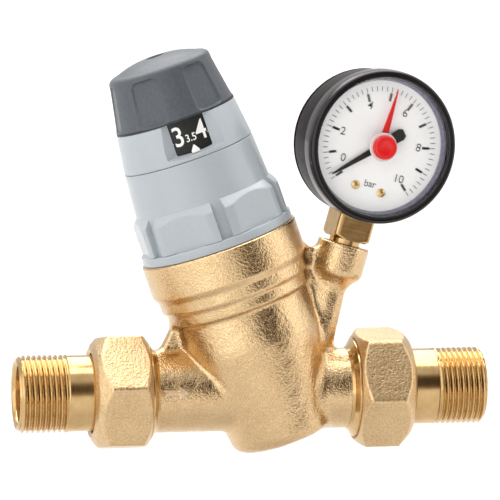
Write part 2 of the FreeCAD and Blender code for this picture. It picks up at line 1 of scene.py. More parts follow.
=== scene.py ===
"""Looks of the DN 20 pressure reducing valve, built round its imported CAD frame.

Shapes are made in millimetres in three local frames, as the design is: the pipe frames, with
z inwards from a tail's end face; the cartridge frame, with z up the inclined axis; and the
dial frame, with z out of the dial and y up the gauge's stem.
"""
import json
import math

import bmesh
import bpy
import numpy as np
from mathutils import Matrix, Vector


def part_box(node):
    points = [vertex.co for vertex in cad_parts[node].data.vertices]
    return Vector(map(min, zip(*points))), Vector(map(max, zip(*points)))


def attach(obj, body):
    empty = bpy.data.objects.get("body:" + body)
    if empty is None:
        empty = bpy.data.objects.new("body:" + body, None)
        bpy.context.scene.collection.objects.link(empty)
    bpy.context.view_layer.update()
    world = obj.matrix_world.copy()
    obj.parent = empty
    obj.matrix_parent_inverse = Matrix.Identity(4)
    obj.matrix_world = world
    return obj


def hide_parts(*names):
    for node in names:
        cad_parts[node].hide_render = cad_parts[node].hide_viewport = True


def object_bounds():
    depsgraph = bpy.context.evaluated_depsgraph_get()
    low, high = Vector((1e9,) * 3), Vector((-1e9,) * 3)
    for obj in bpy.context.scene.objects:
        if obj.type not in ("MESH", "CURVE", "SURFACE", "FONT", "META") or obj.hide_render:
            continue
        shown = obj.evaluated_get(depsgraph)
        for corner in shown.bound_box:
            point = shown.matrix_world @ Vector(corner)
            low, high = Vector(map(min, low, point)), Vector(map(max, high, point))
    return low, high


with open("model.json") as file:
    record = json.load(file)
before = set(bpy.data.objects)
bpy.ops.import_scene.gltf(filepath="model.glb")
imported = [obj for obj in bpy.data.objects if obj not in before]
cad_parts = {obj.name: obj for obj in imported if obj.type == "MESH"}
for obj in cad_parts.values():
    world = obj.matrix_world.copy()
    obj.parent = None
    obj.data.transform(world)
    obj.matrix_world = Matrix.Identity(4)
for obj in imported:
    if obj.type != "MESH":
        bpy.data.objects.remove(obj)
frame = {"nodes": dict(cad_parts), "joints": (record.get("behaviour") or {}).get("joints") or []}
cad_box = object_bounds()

MM = 0.001
JOINTS = {joint["name"]: joint for joint in frame["joints"]}

# ---------------- sizes in millimetres
PIPE_THREAD_R = 26.441 / 2
PIPE_PITCH = 1.814
UNION_THREAD_R = 33.249 / 2
UNION_PITCH = 2.309
THREAD_DEPTH = 0.6403
TAIL_BORE_R = 10.0
TAIL_PLAIN_R = 12.88
TAIL_THREAD_END = 16.0
TAIL_FLANGE_R = 14.9
TAIL_FLANGE = (28.8, 32.2)
GASKET_END = 34.2
NUT = (25.1, 44.4)
NUT_SHOULDER = 28.6
NUT_APOTHEM = 18.5
NUT_CORNER_R = NUT_APOTHEM * 2 / math.sqrt(3)
PORT_RING_END = 47.0
PORT_BORE_R = 9.5
PORT_R = {"inlet": 13.9, "outlet": 13.6}
NUT_ANGLE = {"inlet": 90 - 9.6, "outlet": 90 - 7.1}
COLLAR_TOP = 53.7
COLLAR_R = 27.2
SKIRT_R = 26.4
PAD = (57.3, 67.7)
PAD_R = 26.2
PAD_APOTHEM = 24.7
SEAM = 85.0
COLLAR_RING_TOP = 98.5
WINDOW_BOTTOM = 87.5
WINDOW_HALF_WIDTH = 6.3
SCALE_R = 19.0
BAR_ANGLE = 24.0
REST_BAR = 3.5
KNOB_BOTTOM = 98.9
KNOB_TOP = 118.8
KNOB_R = 20.7
HOLE_R = 3.1
KNOB_TAPER = math.radians(10.5)
STEM_TO_DIAL = 35.1
DIAL_FACE = 6.6
CASE_R = 25.0
CASE_BACK = -11.6
BEZEL_R = 26.2
BEZEL_FRONT = 11.4
BEZEL_BACK = 4.4
BEZEL_OPENING_R = 23.4
DIAL_R = 22.6
SCALE_TURN = math.radians(3.0)
BAR_TURN = math.radians(27.0)
LENS_FRONT = DIAL_FACE + 3.4
BUTTON_R = 4.1
REST_PRESSURE = 0.17
SET_PRESSURE = 5.15


# ---------------- frames
def frame_matrix(origin, y_axis, z_axis):
    """A matrix from a local frame to the row frame, both in millimetres."""
    z = Vector(z_axis).normalized()
    y = Vector(y_axis)
    y = (y - y.dot(z) * z).normalized()
    x = y.cross(z)
    matrix = Matrix((x, y, z)).transposed().to_4x4()
    matrix.translation = Vector(origin)
    return matrix


def joint_point(name):
    return Vector(JOINTS[name]["pos_m"]) / MM


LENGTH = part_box("outlet_tail")[1].x / MM
CARTRIDGE = frame_matrix(joint_point("knob_turn"), (0, 1, 0), JOINTS["knob_turn"]["axis"])
DIAL_NORMAL = -Vector(JOINTS["pointer_turn"]["axis"])
DIAL_UP = joint_point("pointer_turn") - joint_point("sector_turn")
DIAL_ORIGIN = joint_point("pointer_turn") - DIAL_FACE * DIAL_NORMAL
DIAL = frame_matrix(DIAL_ORIGIN, DIAL_UP, DIAL_NORMAL)
STEM = DIAL @ Matrix.Translation((0, -STEM_TO_DIAL, 0)) @ Matrix.Rotation(math.radians(-90), 4, "X")
PIPE = {
    "inlet": frame_matrix((0, 0, 0), (0, 1, 0), (1, 0, 0)),
    "outlet": frame_matrix((LENGTH, 0, 0), (0, 1, 0), (-1, 0, 0)),
}


# ---------------- mesh helpers
def moved(points, matrix):
    m = np.array(matrix, float)
    return points @ m[:3, :3].T + m[:3, 3]


def linked(name, data):
    """Puts an object with that data in the scene."""
    obj = bpy.data.objects.new(name, data)
    bpy.context.scene.collection.objects.link(obj)
    return obj


def mesh_object(name, points, faces, matrix=None, sharp=30.0, merge=True):
    """Makes a smooth-shaded object with its sharp edges marked."""
    points = moved(np.asarray(points, float), matrix or Matrix.Identity(4)) * MM
    mesh = bpy.data.meshes.new(name)
    mesh.from_pydata(points.tolist(), [], [list(map(int, face)) for face in faces])
    if merge:
        work = bmesh.new()
        work.from_mesh(mesh)
        bmesh.ops.remove_doubles(work, verts=work.verts, dist=2e-6)
        bmesh.ops.dissolve_degenerate(work, dist=1e-6, edges=work.edges)
        bmesh.ops.recalc_face_normals(work, faces=work.faces)
        work.to_mesh(mesh)
        work.free()
    mesh.shade_smooth()
    mesh.set_sharp_from_angle(angle=math.radians(sharp))
    mesh.update()
    return linked(name, mesh)


def finish_piece(obj, body, slot, material, *nodes):
    """Gives a piece its material and body and hides the nodes that it stands for; slot is not used.
    """
    obj.data.materials.clear()
    obj.data.materials.append(material)
    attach(obj, body)
    if nodes:
        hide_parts(*nodes)
    return obj


def rounded(points):
    """Rounds with arcs the corners of a closed outline that have a third value, their radius."""
    flat = [np.array(p[:2], float) for p in points]
    made = []
    for i, p in enumerate(points):
        point = flat[i]
        if len(p) < 3 or not p[2]:
            made.append(point)
            continue
        before = flat[i - 1] - point
        after = flat[(i + 1) % len(flat)] - point
        before /= np.linalg.norm(before)
        after /= np.linalg.norm(after)
        half = math.acos(np.clip(before @ after, -1, 1)) / 2
        centre = point + (before + after) / np.linalg.norm(before + after) * p[2] / math.sin(half)
        start = point + before * p[2] / math.tan(half) - centre
        end = point + after * p[2] / math.tan(half) - centre
        a0 = math.atan2(start[1], start[0])
        turn = (math.atan2(end[1], end[0]) - a0 + math.pi) % (2 * math.pi) - math.pi
        count = max(2, round(abs(turn) / math.radians(15)))
        for k in range(count + 1):
            a = a0 + turn * k / count
            made.append(centre + p[2] * np.array([math.cos(a), math.sin(a)]))
    return np.array(made)


def quads(rows, columns, wrap_rows):
    """Faces of a grid that is closed along its columns."""
    last = rows if wrap_rows else rows - 1
    i, j = np.meshgrid(np.arange(last), np.arange(columns), indexing="ij")
    a, b = i * columns + j, i * columns + (j + 1) % columns
    c, d = (i + 1) % rows * columns + (j + 1) % columns, (i + 1) % rows * columns + j
    return np.stack([a, b, c, d], -1).reshape(-1, 4)


def lathe(name, profile, matrix, steps, shape=None, sharp=30.0):
    """Turns a closed profile of (radius, z) about z; shape changes the radius by angle.

    steps is a number of equal steps, or the angles themselves.
    """
    profile = np.asarray(profile, float)
    if isinstance(steps, int):
        steps = np.linspace(0, 2 * math.pi, steps, endpoint=False)
    r, angle = np.meshgrid(profile[:, 0], steps, indexing="ij")
    z = np.repeat(profile[:, 1:], len(steps), 1)
    if shape:
        r = shape(angle, r, z)
    points = np.stack([r * np.cos(angle), r * np.sin(angle), z], -1).reshape(-1, 3)
    return mesh_object(name, points, quads(len(profile), len(steps), True), matrix, sharp)


def prism_faces(n, layers=2):
    """Faces of a stack of outlines with n points each, closed at both ends."""
    faces = [list(range(n))[::-1], list(range((layers - 1) * n, layers * n))]
    for k in range(layers - 1):
        faces += [[k * n + i, k * n + (i + 1) % n, (k + 1) * n + (i + 1) % n, (k + 1) * n + i]
                  for i in range(n)]
    return faces


def prism(name, outline, z0, z1, matrix):
    """Extrudes an outline of (x, y) points."""
    points = [(x, y, z) for z in (z0, z1) for x, y in outline]
    return mesh_object(name, points, prism_faces(len(outline)), matrix)


def joined(name, objects):
    """Joins mesh objects, all in the row frame, into one."""
    work = bmesh.new()
    for obj in objects:
        work.from_mesh(obj.data)
        bpy.data.objects.remove(obj)
    mesh = bpy.data.meshes.new(name)
    work.to_mesh(mesh)
    work.free()
    mesh.shade_smooth()
    mesh.set_sharp_from_angle(angle=math.radians(30))
    return linked(name, mesh)


def apply_modifiers(obj, sharp):
    """Bakes an object's modifiers into its mesh and marks the sharp edges of the result."""
    graph = bpy.context.evaluated_depsgraph_get()
    mesh = bpy.data.meshes.new_from_object(obj.evaluated_get(graph))
    obj.modifiers.clear()
    obj.data = mesh
    mesh.set_sharp_from_angle(angle=math.radians(sharp))
    return obj


def cut(obj, cutter):
    """Takes the cutter away from the object."""
    modifier = obj.modifiers.new("cut", "BOOLEAN")
    modifier.operation = "DIFFERENCE"
    modifier.solver = "EXACT"
    modifier.object = cutter
    apply_modifiers(obj, 30)
    bpy.data.objects.remove(cutter)
    return obj


def bevelled(obj, width):
    """Bevels the sharp edges of an object, by width in millimetres."""
    modifier = obj.modifiers.new("bevel", "BEVEL")
    modifier.width = width * MM
    modifier.segments = 2
    modifier.limit_method = "ANGLE"
    modifier.angle_limit = math.radians(40)
    return apply_modifiers(obj, 60)


def text_mesh(text, height, weight=0.0):
    """Points and faces of flat text, centred on the origin, in millimetres."""
    curve = bpy.data.curves.new("text", "FONT")
    curve.body = text
    curve.align_x = "CENTER"
    curve.align_y = "CENTER"
    curve.size = height / 0.7
    curve.resolution_u = 6
    curve.offset = weight * height
    obj = linked("text", curve)
    graph = bpy.context.evaluated_depsgraph_get()
    mesh = bpy.data.meshes.new_from_object(obj.evaluated_get(graph))
    points = np.array([v.co for v in mesh.vertices], float).reshape(-1, 3)
    faces = [list(p.vertices) for p in mesh.polygons]
    bpy.data.objects.remove(obj)
    bpy.data.meshes.remove(mesh)
    return points, faces


# ---------------- distance fields
def polygon_distance(p, polygon):
    """Signed distance of 2-D points to a closed polygon, negative inside."""
    best = np.full(len(p), 1e9)
    inside = np.ones(len(p))
    for a, b in zip(polygon, np.roll(polygon, 1, 0)):
        edge, way = b - a, p - a
        share = np.clip(way @ edge / max(edge @ edge, 1e-12), 0, 1)
        off = way - share[:, None] * edge
        best = np.minimum(best, (off * off).sum(1))
        above, below = p[:, 1] >= a[1], p[:, 1] < b[1]
        left = edge[0] * way[:, 1] > edge[1] * way[:, 0]
        flip = (above & below & left) | (~above & ~below & ~left)
        inside[flip] *= -1
    return inside * np.sqrt(best)


class Turned:
    """Distance to a turned solid, looked up in a table of its profile."""

    def __init__(self, profile, step=0.15):
        low, high = profile.min(0) - 12, profile.max(0) + 12
        self.low, self.step = np.array([0, low[1]]), step
        r = np.arange(0, high[0], step)
        z = np.arange(low[1], high[1], step)
        mirrored = np.concatenate([profile, (profile * [-1, 1])[::-1]])
        grid = np.stack(np.meshgrid(r, z, indexing="ij"), -1)
        self.table = polygon_distance(grid.reshape(-1, 2), mirrored).reshape(grid.shape[:2])

    def __call__(self, p):
        at = (np.stack([np.hypot(p[:, 0], p[:, 1]), p[:, 2]], 1) - self.low) / self.step
        top = np.array(self.table.shape) - 1.001
        outside = np.linalg.norm(at - np.clip(at, 0, top), axis=1) * self.step
        at = np.clip(at, 0, top)
        i = at.astype(int)
        u, v = (at - i).T
        t = self.table
        a, b = t[i[:, 0], i[:, 1]], t[i[:, 0] + 1, i[:, 1]]
        c, d = t[i[:, 0], i[:, 1] + 1], t[i[:, 0] + 1, i[:, 1] + 1]
        return (1 - v) * ((1 - u) * a + u * b) + v * ((1 - u) * c + u * d) + outside


def rod_distance(p, radius, z0, z1):
    return np.maximum(np.hypot(p[:, 0], p[:, 1]) - radius, np.maximum(z0 - p[:, 2], p[:, 2] - z1))


def fillet(a, b, radius):
    """Union of two solids with a round fillet along their meeting."""
    u, v = np.maximum(radius - a, 0), np.maximum(radius - b, 0)
    return np.maximum(radius, np.minimum(a, b)) - np.hypot(u, v)


def slab(p, polygon, half, edge):
    """Polygon in the XZ plane, extruded to each side, with its edges rounded."""
    a = polygon_distance(p[:, [0, 2]], np.array(polygon, float)) + edge
    b = np.abs(p[:, 1]) - half + edge
    return np.minimum(np.maximum(a, b), 0) + np.hypot(np.maximum(a, 0), np.maximum(b, 0)) - edge


def gradient(field, p, step=0.05):
    shifts = np.eye(3) * step
    return np.stack([field(p + s) - field(p - s) for s in shifts], 1) / (2 * step)


def contoured(name, field, low, high, step):
    """Meshes the surface where a field is 0, pulls the points onto it and takes its normals."""
    axes = [np.arange(low[i], high[i] + step, step) for i in range(3)]
    shape = np.array([len(a) for a in axes])
    values = np.empty(shape)
    plane = np.stack(np.meshgrid(axes[1], axes[2], indexing="ij"), -1).reshape(-1, 2)
    for i, x in enumerate(axes[0]):
        values[i] = field(np.c_[np.full(len(plane), x), plane]).reshape(shape[1:])
    inside = values < 0
    cells = np.prod(shape)
    total, count, found = np.zeros((cells, 3)), np.zeros(cells), []
    for axis in range(3):
        unit = np.eye(3, dtype=int)[axis]
        near = tuple(slice(0, n - u) for n, u in zip(shape, unit))
        far = tuple(slice(u, None) for u in unit)
        at = np.argwhere(inside[near] != inside[far])
        a, b = values[tuple(at.T)], values[tuple((at + unit).T)]
        point = at + unit * (a / (a - b))[:, None]
        others = [np.eye(3, dtype=int)[k] for k in range(3) if k != axis]
        around = [at, at - others[0], at - others[0] - others[1], at - others[1]]
        index = [np.ravel_multi_index(tuple(c.T), shape) for c in around]
        for one in index:
            count += np.bincount(one, minlength=cells)
            for k in range(3):
                total[:, k] += np.bincount(one, point[:, k], cells)
        faces = np.stack(index, 1)
        forward = (a < 0) == (axis != 1)
        found.append(np.where(forward[:, None], faces, faces[:, ::-1]))
    used = np.flatnonzero(count)
    number = np.zeros(cells, int)
    number[used] = np.arange(len(used))
    faces = number[np.concatenate(found)]
    middle = np.array(low) + total[used] / count[used][:, None] * step
    points = middle.copy()
    for _ in range(4):
        slope = gradient(field, points)
        size = np.maximum((slope * slope).sum(1), 0.2)
        points -= slope * (field(points) / size)[:, None]
        points = middle + np.clip(points - middle, -0.8 * step, 0.8 * step)
    normals = gradient(field, points)
    normals /= np.maximum(np.linalg.norm(normals, axis=1), 1e-9)[:, None]
    mesh = bpy.data.meshes.new(name)
    mesh.from_pydata((points * MM).tolist(), [], faces.tolist())
    mesh.shade_smooth()
    mesh.normals_split_custom_set_from_vertices(normals.tolist())
    mesh.update()
    return linked(name, mesh)


# ---------------- cast body
BARREL = Turned(rounded([
    (0, -17.7), (17.3, -17.7, 4.5), (23.4, 18, 20), (22.6, 30.5, 1.5), (24.3, 31.8, 1.0),
    (24.5, 35.2, 0.9), (25.7, 36.6, 1.0), (25.9, 40.2, 0.9), (COLLAR_R, 42.3, 1.1),
    (COLLAR_R, COLLAR_TOP, 0.8), (0, COLLAR_TOP)]) - [0.03, 0])
BOSS = Turned(rounded([
    (0, -36), (6.0, -36), (4.7, -14, 6), (8.45, -10.6, 1.8), (8.9, -9, 1), (8.9, 0, 0.7), (0, 0)]))
CHAMBER = Turned(rounded([
    (0, -14), (13, -14, 2), (13, -3.5), (11.5, -3.5), (11.5, -0.5), (17, -0.5), (17, 28),
    (18.5, 29), (18.5, 40), (22.8, 40), (22.8, 55), (0, 55)]))
RIGHT_WEB = [(100, 10), (107.5, 12), (104.5, 20), (107, 36), (106, 47.5), (92, 49.5), (88, 40)]
LEFT_WEB = [(47.8, 12), (49.2, 14.4), (54.5, 25), (64, 25), (64, 8)]
CAST_START = 46.2
CAST_END = {"inlet": 76.0, "outlet": 68.0}
WEB_EDGE = 1.2
PARTING_LINE_HEIGHT = 0.10
PARTING_LINE_WIDTH = 0.55
WAVE_HEIGHT = 0.045


def unevenness(p):
    """Low waves that a sand-cast surface has."""
    x, y, z = p.T
    waves = np.sin(0.55 * x + 0.31 * y + 1.1) * np.sin(0.47 * z - 0.25 * x + 0.4)
    waves += 0.7 * np.sin(0.93 * x - 0.61 * z) * np.sin(0.87 * y + 0.53 * z + 2)
    waves += 0.4 * np.sin(1.9 * x + 1.3 * y) * np.sin(1.7 * z - 1.1 * y + 0.7)
    return waves


def cast_field(p):
    """The casting: barrel, ports, webs and boss, less its chamber and bores."""
    c, g = moved(p, CARTRIDGE.inverted()), moved(p, STEM.inverted())
    along = p[:, [1, 2, 0]]
    inlet = rod_distance(along, PORT_R["inlet"], CAST_START, CAST_END["inlet"])
    outlet = rod_distance(
        along, PORT_R["outlet"], LENGTH - CAST_END["outlet"], LENGTH - CAST_START)
    f = fillet(fillet(BARREL(c), inlet, 1.3), outlet, 2.0)
    f = fillet(f, slab(p, LEFT_WEB, 3.0, WEB_EDGE), 2.0)
    f = fillet(f, slab(p, RIGHT_WEB, 3.5, WEB_EDGE), 3.0)
    f = fillet(f, BOSS(g), 2.2)
    f = f - WAVE_HEIGHT * unevenness(p) * np.clip((44.5 - c[:, 2]) / 6, 0.25, 1)
    parting = np.exp(-(p[:, 1] / PARTING_LINE_WIDTH) ** 2) * (c[:, 2] < 41)
    f = f - PARTING_LINE_HEIGHT * parting
    f = np.maximum(f, -CHAMBER(c))
    inlet_bore = rod_distance(along, PORT_BORE_R, 30, 84)
    f = np.maximum(f, -np.maximum(inlet_bore, -0.5 - c[:, 2]))
    outlet_bore = rod_distance(along, PORT_BORE_R, 88, LENGTH - 30)
    f = np.maximum(f, -np.maximum(outlet_bore, -rod_distance(c, 19.5, -3.5, 40)))
    return np.maximum(f, -rod_distance(g, 6.55, -9.4, 5))


def eased(share):
    """A share clipped to 0 to 1, with a soft start and end."""
    share = np.clip(share, 0, 1)
    return share * share * (3 - 2 * share)


def arrow_relief(name):
    """Raised arrow on the front of the inlet port, a patch that rises out of the casting."""
    arrow = np.array([
        (48.3, 0.2), (53.2, 0.2), (53.2, -1.4), (57.2, 1.0), (53.2, 3.4), (53.2, 1.8),
        (48.3, 1.8)])
    x, z = np.arange(47.4, 58.2, 0.16), np.arange(-2.4, 4.4, 0.16)
    grid = np.stack(np.meshgrid(x, z, indexing="ij"), -1)
    off = polygon_distance(grid.reshape(-1, 2), arrow).reshape(grid.shape[:2])
    radius = PORT_R["inlet"] - 0.25 + 1.15 * eased(0.5 - off / 0.45)
    depth = -np.sqrt(radius ** 2 - grid[..., 1] ** 2)
    points = np.stack([grid[..., 0], depth, grid[..., 1]], -1).reshape(-1, 3)
    columns = len(z)
    faces = quads(len(x), columns, False)
    faces = faces[np.arange(len(faces)) % columns != columns - 1]
    return mesh_object(name, points, faces, sharp=60)


# ---------------- threads and unions
def thread_depth(phase, pitch):
    """Depth below the crest of a 55 degree thread with a round crest and root, by turn."""
    t = 2 * np.abs((phase % 1) - 0.5)
    sharp = 0.9605 * pitch
    depth = sharp * (1 - t) - sharp / 6
    full = THREAD_DEPTH * pitch
    soft = 0.09 * pitch
    depth = soft * np.logaddexp(0, depth / soft)
    return full - soft * np.logaddexp(0, (full - depth) / soft)


def threaded_tail(name, side, crest_r):
    """Turned tail: pipe thread, plain shank, flange and bore."""
    def shape(angle, r, z):
        runout = np.clip((TAIL_THREAD_END + 1.0 - z) / 1.2, 0, 1)
        cut_r = crest_r - thread_depth(z / PIPE_PITCH - angle / (2 * math.pi), PIPE_PITCH) * runout
        cut_r = np.minimum(cut_r, 11.75 + 1.05 * z)
        return np.where((r > 12.5) & (z < TAIL_THREAD_END + 1), cut_r, r)

    rows = [(13.0, z) for z in np.arange(0.0, TAIL_THREAD_END + 1, PIPE_PITCH / 15)]
    rows += [(TAIL_PLAIN_R, TAIL_THREAD_END + 1.02), (TAIL_PLAIN_R, 22)]
    rows += list(rounded([
        (TAIL_PLAIN_R, 25), (TAIL_PLAIN_R, TAIL_FLANGE[0], 0.4),
        (TAIL_FLANGE_R, TAIL_FLANGE[0], 0.2),
        (TAIL_FLANGE_R, TAIL_FLANGE[1], 0.2), (TAIL_BORE_R, TAIL_FLANGE[1], 0.2),
        (TAIL_BORE_R, 1.1, 0.6), (TAIL_BORE_R + 0.9, 0.0, 0.15)]))
    return lathe(name, rows, PIPE[side], 144, shape, 50)


def port_end(name, side):
    """Machined end of a port: its union thread, the turned flare behind it and its bore."""
    crest, outer = UNION_THREAD_R, PORT_R[side]

    def shape(angle, r, z):
        share = np.clip((43.6 - z) / 1.0, 0, 1)
        cut_r = crest - thread_depth(z / UNION_PITCH - angle / (2 * math.pi), UNION_PITCH) * share
        cut_r = np.minimum(cut_r, crest - 1.3 + 1.1 * (z - GASKET_END))
        return np.where((r > crest - 0.2) & (z < 43.7), cut_r, r)

    rows = [(crest - 0.1, z) for z in np.arange(GASKET_END, 43.7, UNION_PITCH / 15)]
    rows += list(rounded([
        (crest, 43.75), (crest, 45.0, 0.3), (outer + 0.9, 46.3, 0.4),
        (outer + 0.25, PORT_RING_END + 0.2),
        (outer - 1.5, PORT_RING_END + 0.6), (PORT_BORE_R, 52), (PORT_BORE_R, GASKET_END, 0.3)]))
    return lathe(name, rows, PIPE[side], 144, shape, 40)


def repeated(base, first, times):
    """Angles in radians repeated round a full turn, from one first angle."""
    return np.sort(np.concatenate([base + first + k * 2 * math.pi / times for k in range(times)]))


def hex_angles(first):
    """Angles round a hexagon, closer together beside each corner."""
    near = math.radians(2.5)
    base = np.concatenate([
        np.linspace(-near, near, 5)[:-1], np.linspace(near, math.pi / 3 - near, 17)[:-1]])
    return repeated(base, first, 6)


def soft_min(*values, k):
    """The least of several values, with the change from one to another rounded."""
    stack = np.stack(values)
    least = stack.min(0)
    return least - k * np.log(np.exp(-(stack - least) / k).sum(0))


def union_nut(name, side):
    """Forged nut: six flats, chamfered towards both ends, with a turned bore."""
    corner = math.radians(NUT_ANGLE[side])
    z0, z1 = NUT

    def shape(angle, r, z):
        turn = (angle - corner + math.pi / 6) % (math.pi / 3) - math.pi / 6
        flat = NUT_APOTHEM / np.cos(math.pi / 6 - np.abs(turn))
        lead = 17.0 + (z - z0 - 1.0) * 1.03
        back = 17.5 + (z1 - z) * 1.3
        edge = np.full_like(z, NUT_CORNER_R - 0.22)
        hexagon = soft_min(flat, edge, lead, back, k=0.11)
        step = soft_min(hexagon, 14.9 + (z - z0) * 2.2, k=0.08)
        return np.where(r > 17, step, r)

    body = np.concatenate([
        np.arange(z0, z0 + 6.4, 0.3), np.arange(z0 + 6.6, z1 - 4.6, 0.9),
        np.arange(z1 - 4.4, z1, 0.3)])
    rows = [(20.0, z) for z in body] + [(20.0, z1 - 0.02)]
    bore, hole = UNION_THREAD_R + 0.05, PIPE_THREAD_R + 0.25
    rows += list(rounded([
        (bore + 0.75, z1), (bore, z1 - 0.7), (bore, NUT_SHOULDER), (hole, NUT_SHOULDER, 0.2),
        (hole, z0 + 0.6, 0.3), (hole + 0.7, z0, 0.2)]))
    return lathe(name, rows, PIPE[side], hex_angles(corner), shape, 35)


# ---------------- cover and knob
FRONT = math.radians(270)


def bell(name):
    """Bell cover: skirt, six wrench pads with grooves between them, and the plain cone."""
    groove_half = 2.0

    def wall_r(z):
        return 24.4 - (z - PAD[0]) * (24.4 - 22.5) / (SEAM - PAD[0])

    def shape(angle, r, z):
        turn = (angle - FRONT + math.pi / 6) % (math.pi / 3) - math.pi / 6
        flat = PAD_APOTHEM / np.cos(math.pi / 6 - np.abs(turn))
        cylinder = PAD_R - 0.02 * (z - PAD[0])
        chamfer = 23.9 + (69.6 - z) * 0.80
        pad = soft_min(flat, cylinder, chamfer, k=0.06)
        inner = wall_r(z)
        across = np.abs(PAD_R * np.sin(turn))
        cut_in = np.clip((across - groove_half) / 0.35 + 0.5, 0, 1)
        pad = inner + (np.maximum(pad, inner) - inner) * cut_in
        return np.where(r == 0, np.where(z > PAD[0] - 0.35, pad, inner), r)

    beside = np.array([2.2, 3.6, 3.95, 4.2, 4.45, 4.7, 4.95, 5.3, 6.5])
    base = np.concatenate([[0], beside, np.linspace(7.8, 52.2, 24), 60 - beside])
    phi = repeated(np.radians(base), FRONT, 6)
    rows = list(rounded([
        (22.6, 50), (22.6, COLLAR_TOP + 0.06), (SKIRT_R, COLLAR_TOP + 0.06, 0.3),
        (SKIRT_R, PAD[0] - 0.45, 0.45), (25.2, PAD[0] - 0.42)]))
    zs = np.concatenate([
        [PAD[0] - 0.3, PAD[0] - 0.1], np.arange(57.5, 65.2, 0.7), np.arange(65.4, 70.2, 0.22),
        np.arange(70.6, SEAM - 0.9, 1.2)])
    rows += [(0.0, z) for z in zs]
    rows += list(rounded([
        (wall_r(SEAM - 0.6), SEAM - 0.6), (wall_r(SEAM), SEAM, 0.25), (17.8, SEAM),
        (17.8, 97.1, 0.3), (8, 97.1), (8, 95), (16.2, 94.2), (16.2, 84.8), (18.6, 82.4),
        (19.0, 66.0), (20.4, 58.0), (20.4, 50)]))
    return lathe(name, rows, CARTRIDGE, phi, shape, 28)


def window_cutter(side):
    """Cuts the window: an opening with a slanted frame round it, wider outside."""
    half, low = WINDOW_HALF_WIDTH, WINDOW_BOTTOM
    steps = ((15.0, 0.0, 0.0), (18.25, 0.0, 0.0), (19.4, 3.7, 0.4), (23.6, 4.1, 1.7))
    rings = []
    for y, extra, frame_low in steps:
        outline = rounded([
            (-half - extra, low - frame_low, 0.7), (half + extra, low - frame_low, 0.7),
            (half + extra, 100.0), (-half - extra, 100.0)])
        rings.append(np.c_[outline[:, 0], np.full(len(outline), y * side), outline[:, 1]])
    faces = prism_faces(len(rings[0]), len(rings))
    return mesh_object("cutter", np.concatenate(rings), faces, CARTRIDGE)


def window_collar(name):
    """Ring above the seam, with a window at the front and one at the back."""
    profile = rounded([
        (SCALE_R + 0.3, SEAM + 0.15), (22.55, SEAM + 0.15, 0.3), (20.75, COLLAR_RING_TOP, 0.35),
        (SCALE_R + 0.3, COLLAR_RING_TOP, 0.2)])
    ring = lathe(name, profile, CARTRIDGE, 180)
    for side in (-1, 1):
        cut(ring, window_cutter(side))
    return ring


def knob(name):
    """Knob with six shallow scooped panels, a rolled top edge and a hollow underside."""
    slope = math.tan(KNOB_TAPER)
    panel_depth, panel_corner, panel_middle, panel_reach = 1.15, 2.2, 107.0, 7.6
    crown_z, crown_depth, crown_height = 115.4, 2.9, 2.15

    def shape(angle, r, z):
        turn = (angle - FRONT) % (math.pi / 3) - math.pi / 6
        skin = KNOB_R - (z - KNOB_BOTTOM) * slope
        flat = (skin - panel_depth) / np.cos(turn)
        half = 5.4 - (z - KNOB_BOTTOM) * 0.055
        a = np.maximum(np.abs(skin * np.sin(turn)) - half + panel_corner, 0)
        b = np.maximum(np.abs(z - panel_middle) - panel_reach + panel_corner, 0)
        inside = panel_corner - np.hypot(a, b)
        recessed = skin + (np.minimum(flat, skin) - skin) * eased(inside / 0.55 + 0.5)
        return np.where(r < 0, recessed, r)

    zs = np.concatenate([
        np.arange(98.6, 100.6, 0.22), np.arange(100.8, 112.6, 0.8),
        np.arange(112.8, crown_z, 0.2)])
    top_r = KNOB_R - (crown_z - KNOB_BOTTOM) * slope
    rows = list(rounded([
        (17.3, 99.6), (SCALE_R + 0.1, 99.6), (SCALE_R + 0.1, KNOB_BOTTOM),
        (KNOB_R, KNOB_BOTTOM, 0.35), (KNOB_R - 0.4 * slope, KNOB_BOTTOM + 0.4)]))
    rows += [(-1.0, z) for z in zs]
    for a in np.linspace(KNOB_TAPER, math.radians(88), 13)[1:]:
        rows.append((top_r - crown_depth * (math.cos(KNOB_TAPER) - math.cos(a)),
                     crown_z + crown_height * (math.sin(a) - math.sin(KNOB_TAPER))))
    last_r, last_z = rows[-1]
    for k in range(1, 9):
        share = k / 8
        r = last_r + (HOLE_R + 0.15 - last_r) * share
        rows.append((r, last_z + (KNOB_TOP + 0.9 - last_z) * (1 - (1 - share) ** 2)))
    rows += [(HOLE_R, KNOB_TOP + 0.7), (HOLE_R, 113.2), (14.5, 113.2), (16.9, 100.4)]
    base = np.concatenate([
        np.linspace(-15.5, 15.5, 22), np.linspace(-30, -16.3, 14), np.linspace(16.3, 29.0, 13)])
    phi = repeated(np.radians(base), FRONT + math.pi / 6, 6)
    return lathe(name, rows, CARTRIDGE, phi, shape, 40)


def scale_drum(name):
    """Black ring behind the windows."""
    profile = rounded([
        (18.15, 86.6), (SCALE_R, 86.6, 0.15), (SCALE_R, 99.5), (17.4, 99.5), (17.4, 98.6),
        (18.15, 98.6)])
    return lathe(name, profile, CARTRIDGE, 144)


def wrapped(flat, radius, z, angle):
    """Flat points laid on a cylinder about z, centred at that angle."""
    a = angle + flat[:, 0] / radius
    return np.stack([radius * np.cos(a), radius * np.sin(a), z + flat[:, 1]], -1)


def printed(name, figures, weight, lay, matrix):
    """Figures as one mesh: each is (text, height, place), and lay puts flat text in its place."""
    points, faces = [], []
    for text, height, place in figures:
        flat, outlines = text_mesh(text, height, weight)
        start = sum(len(done) for done in points)
        points.append(lay(flat, *place))
        faces.extend([[i + start for i in outline] for outline in outlines])
    return mesh_object(name, np.concatenate(points), faces, matrix, merge=False)


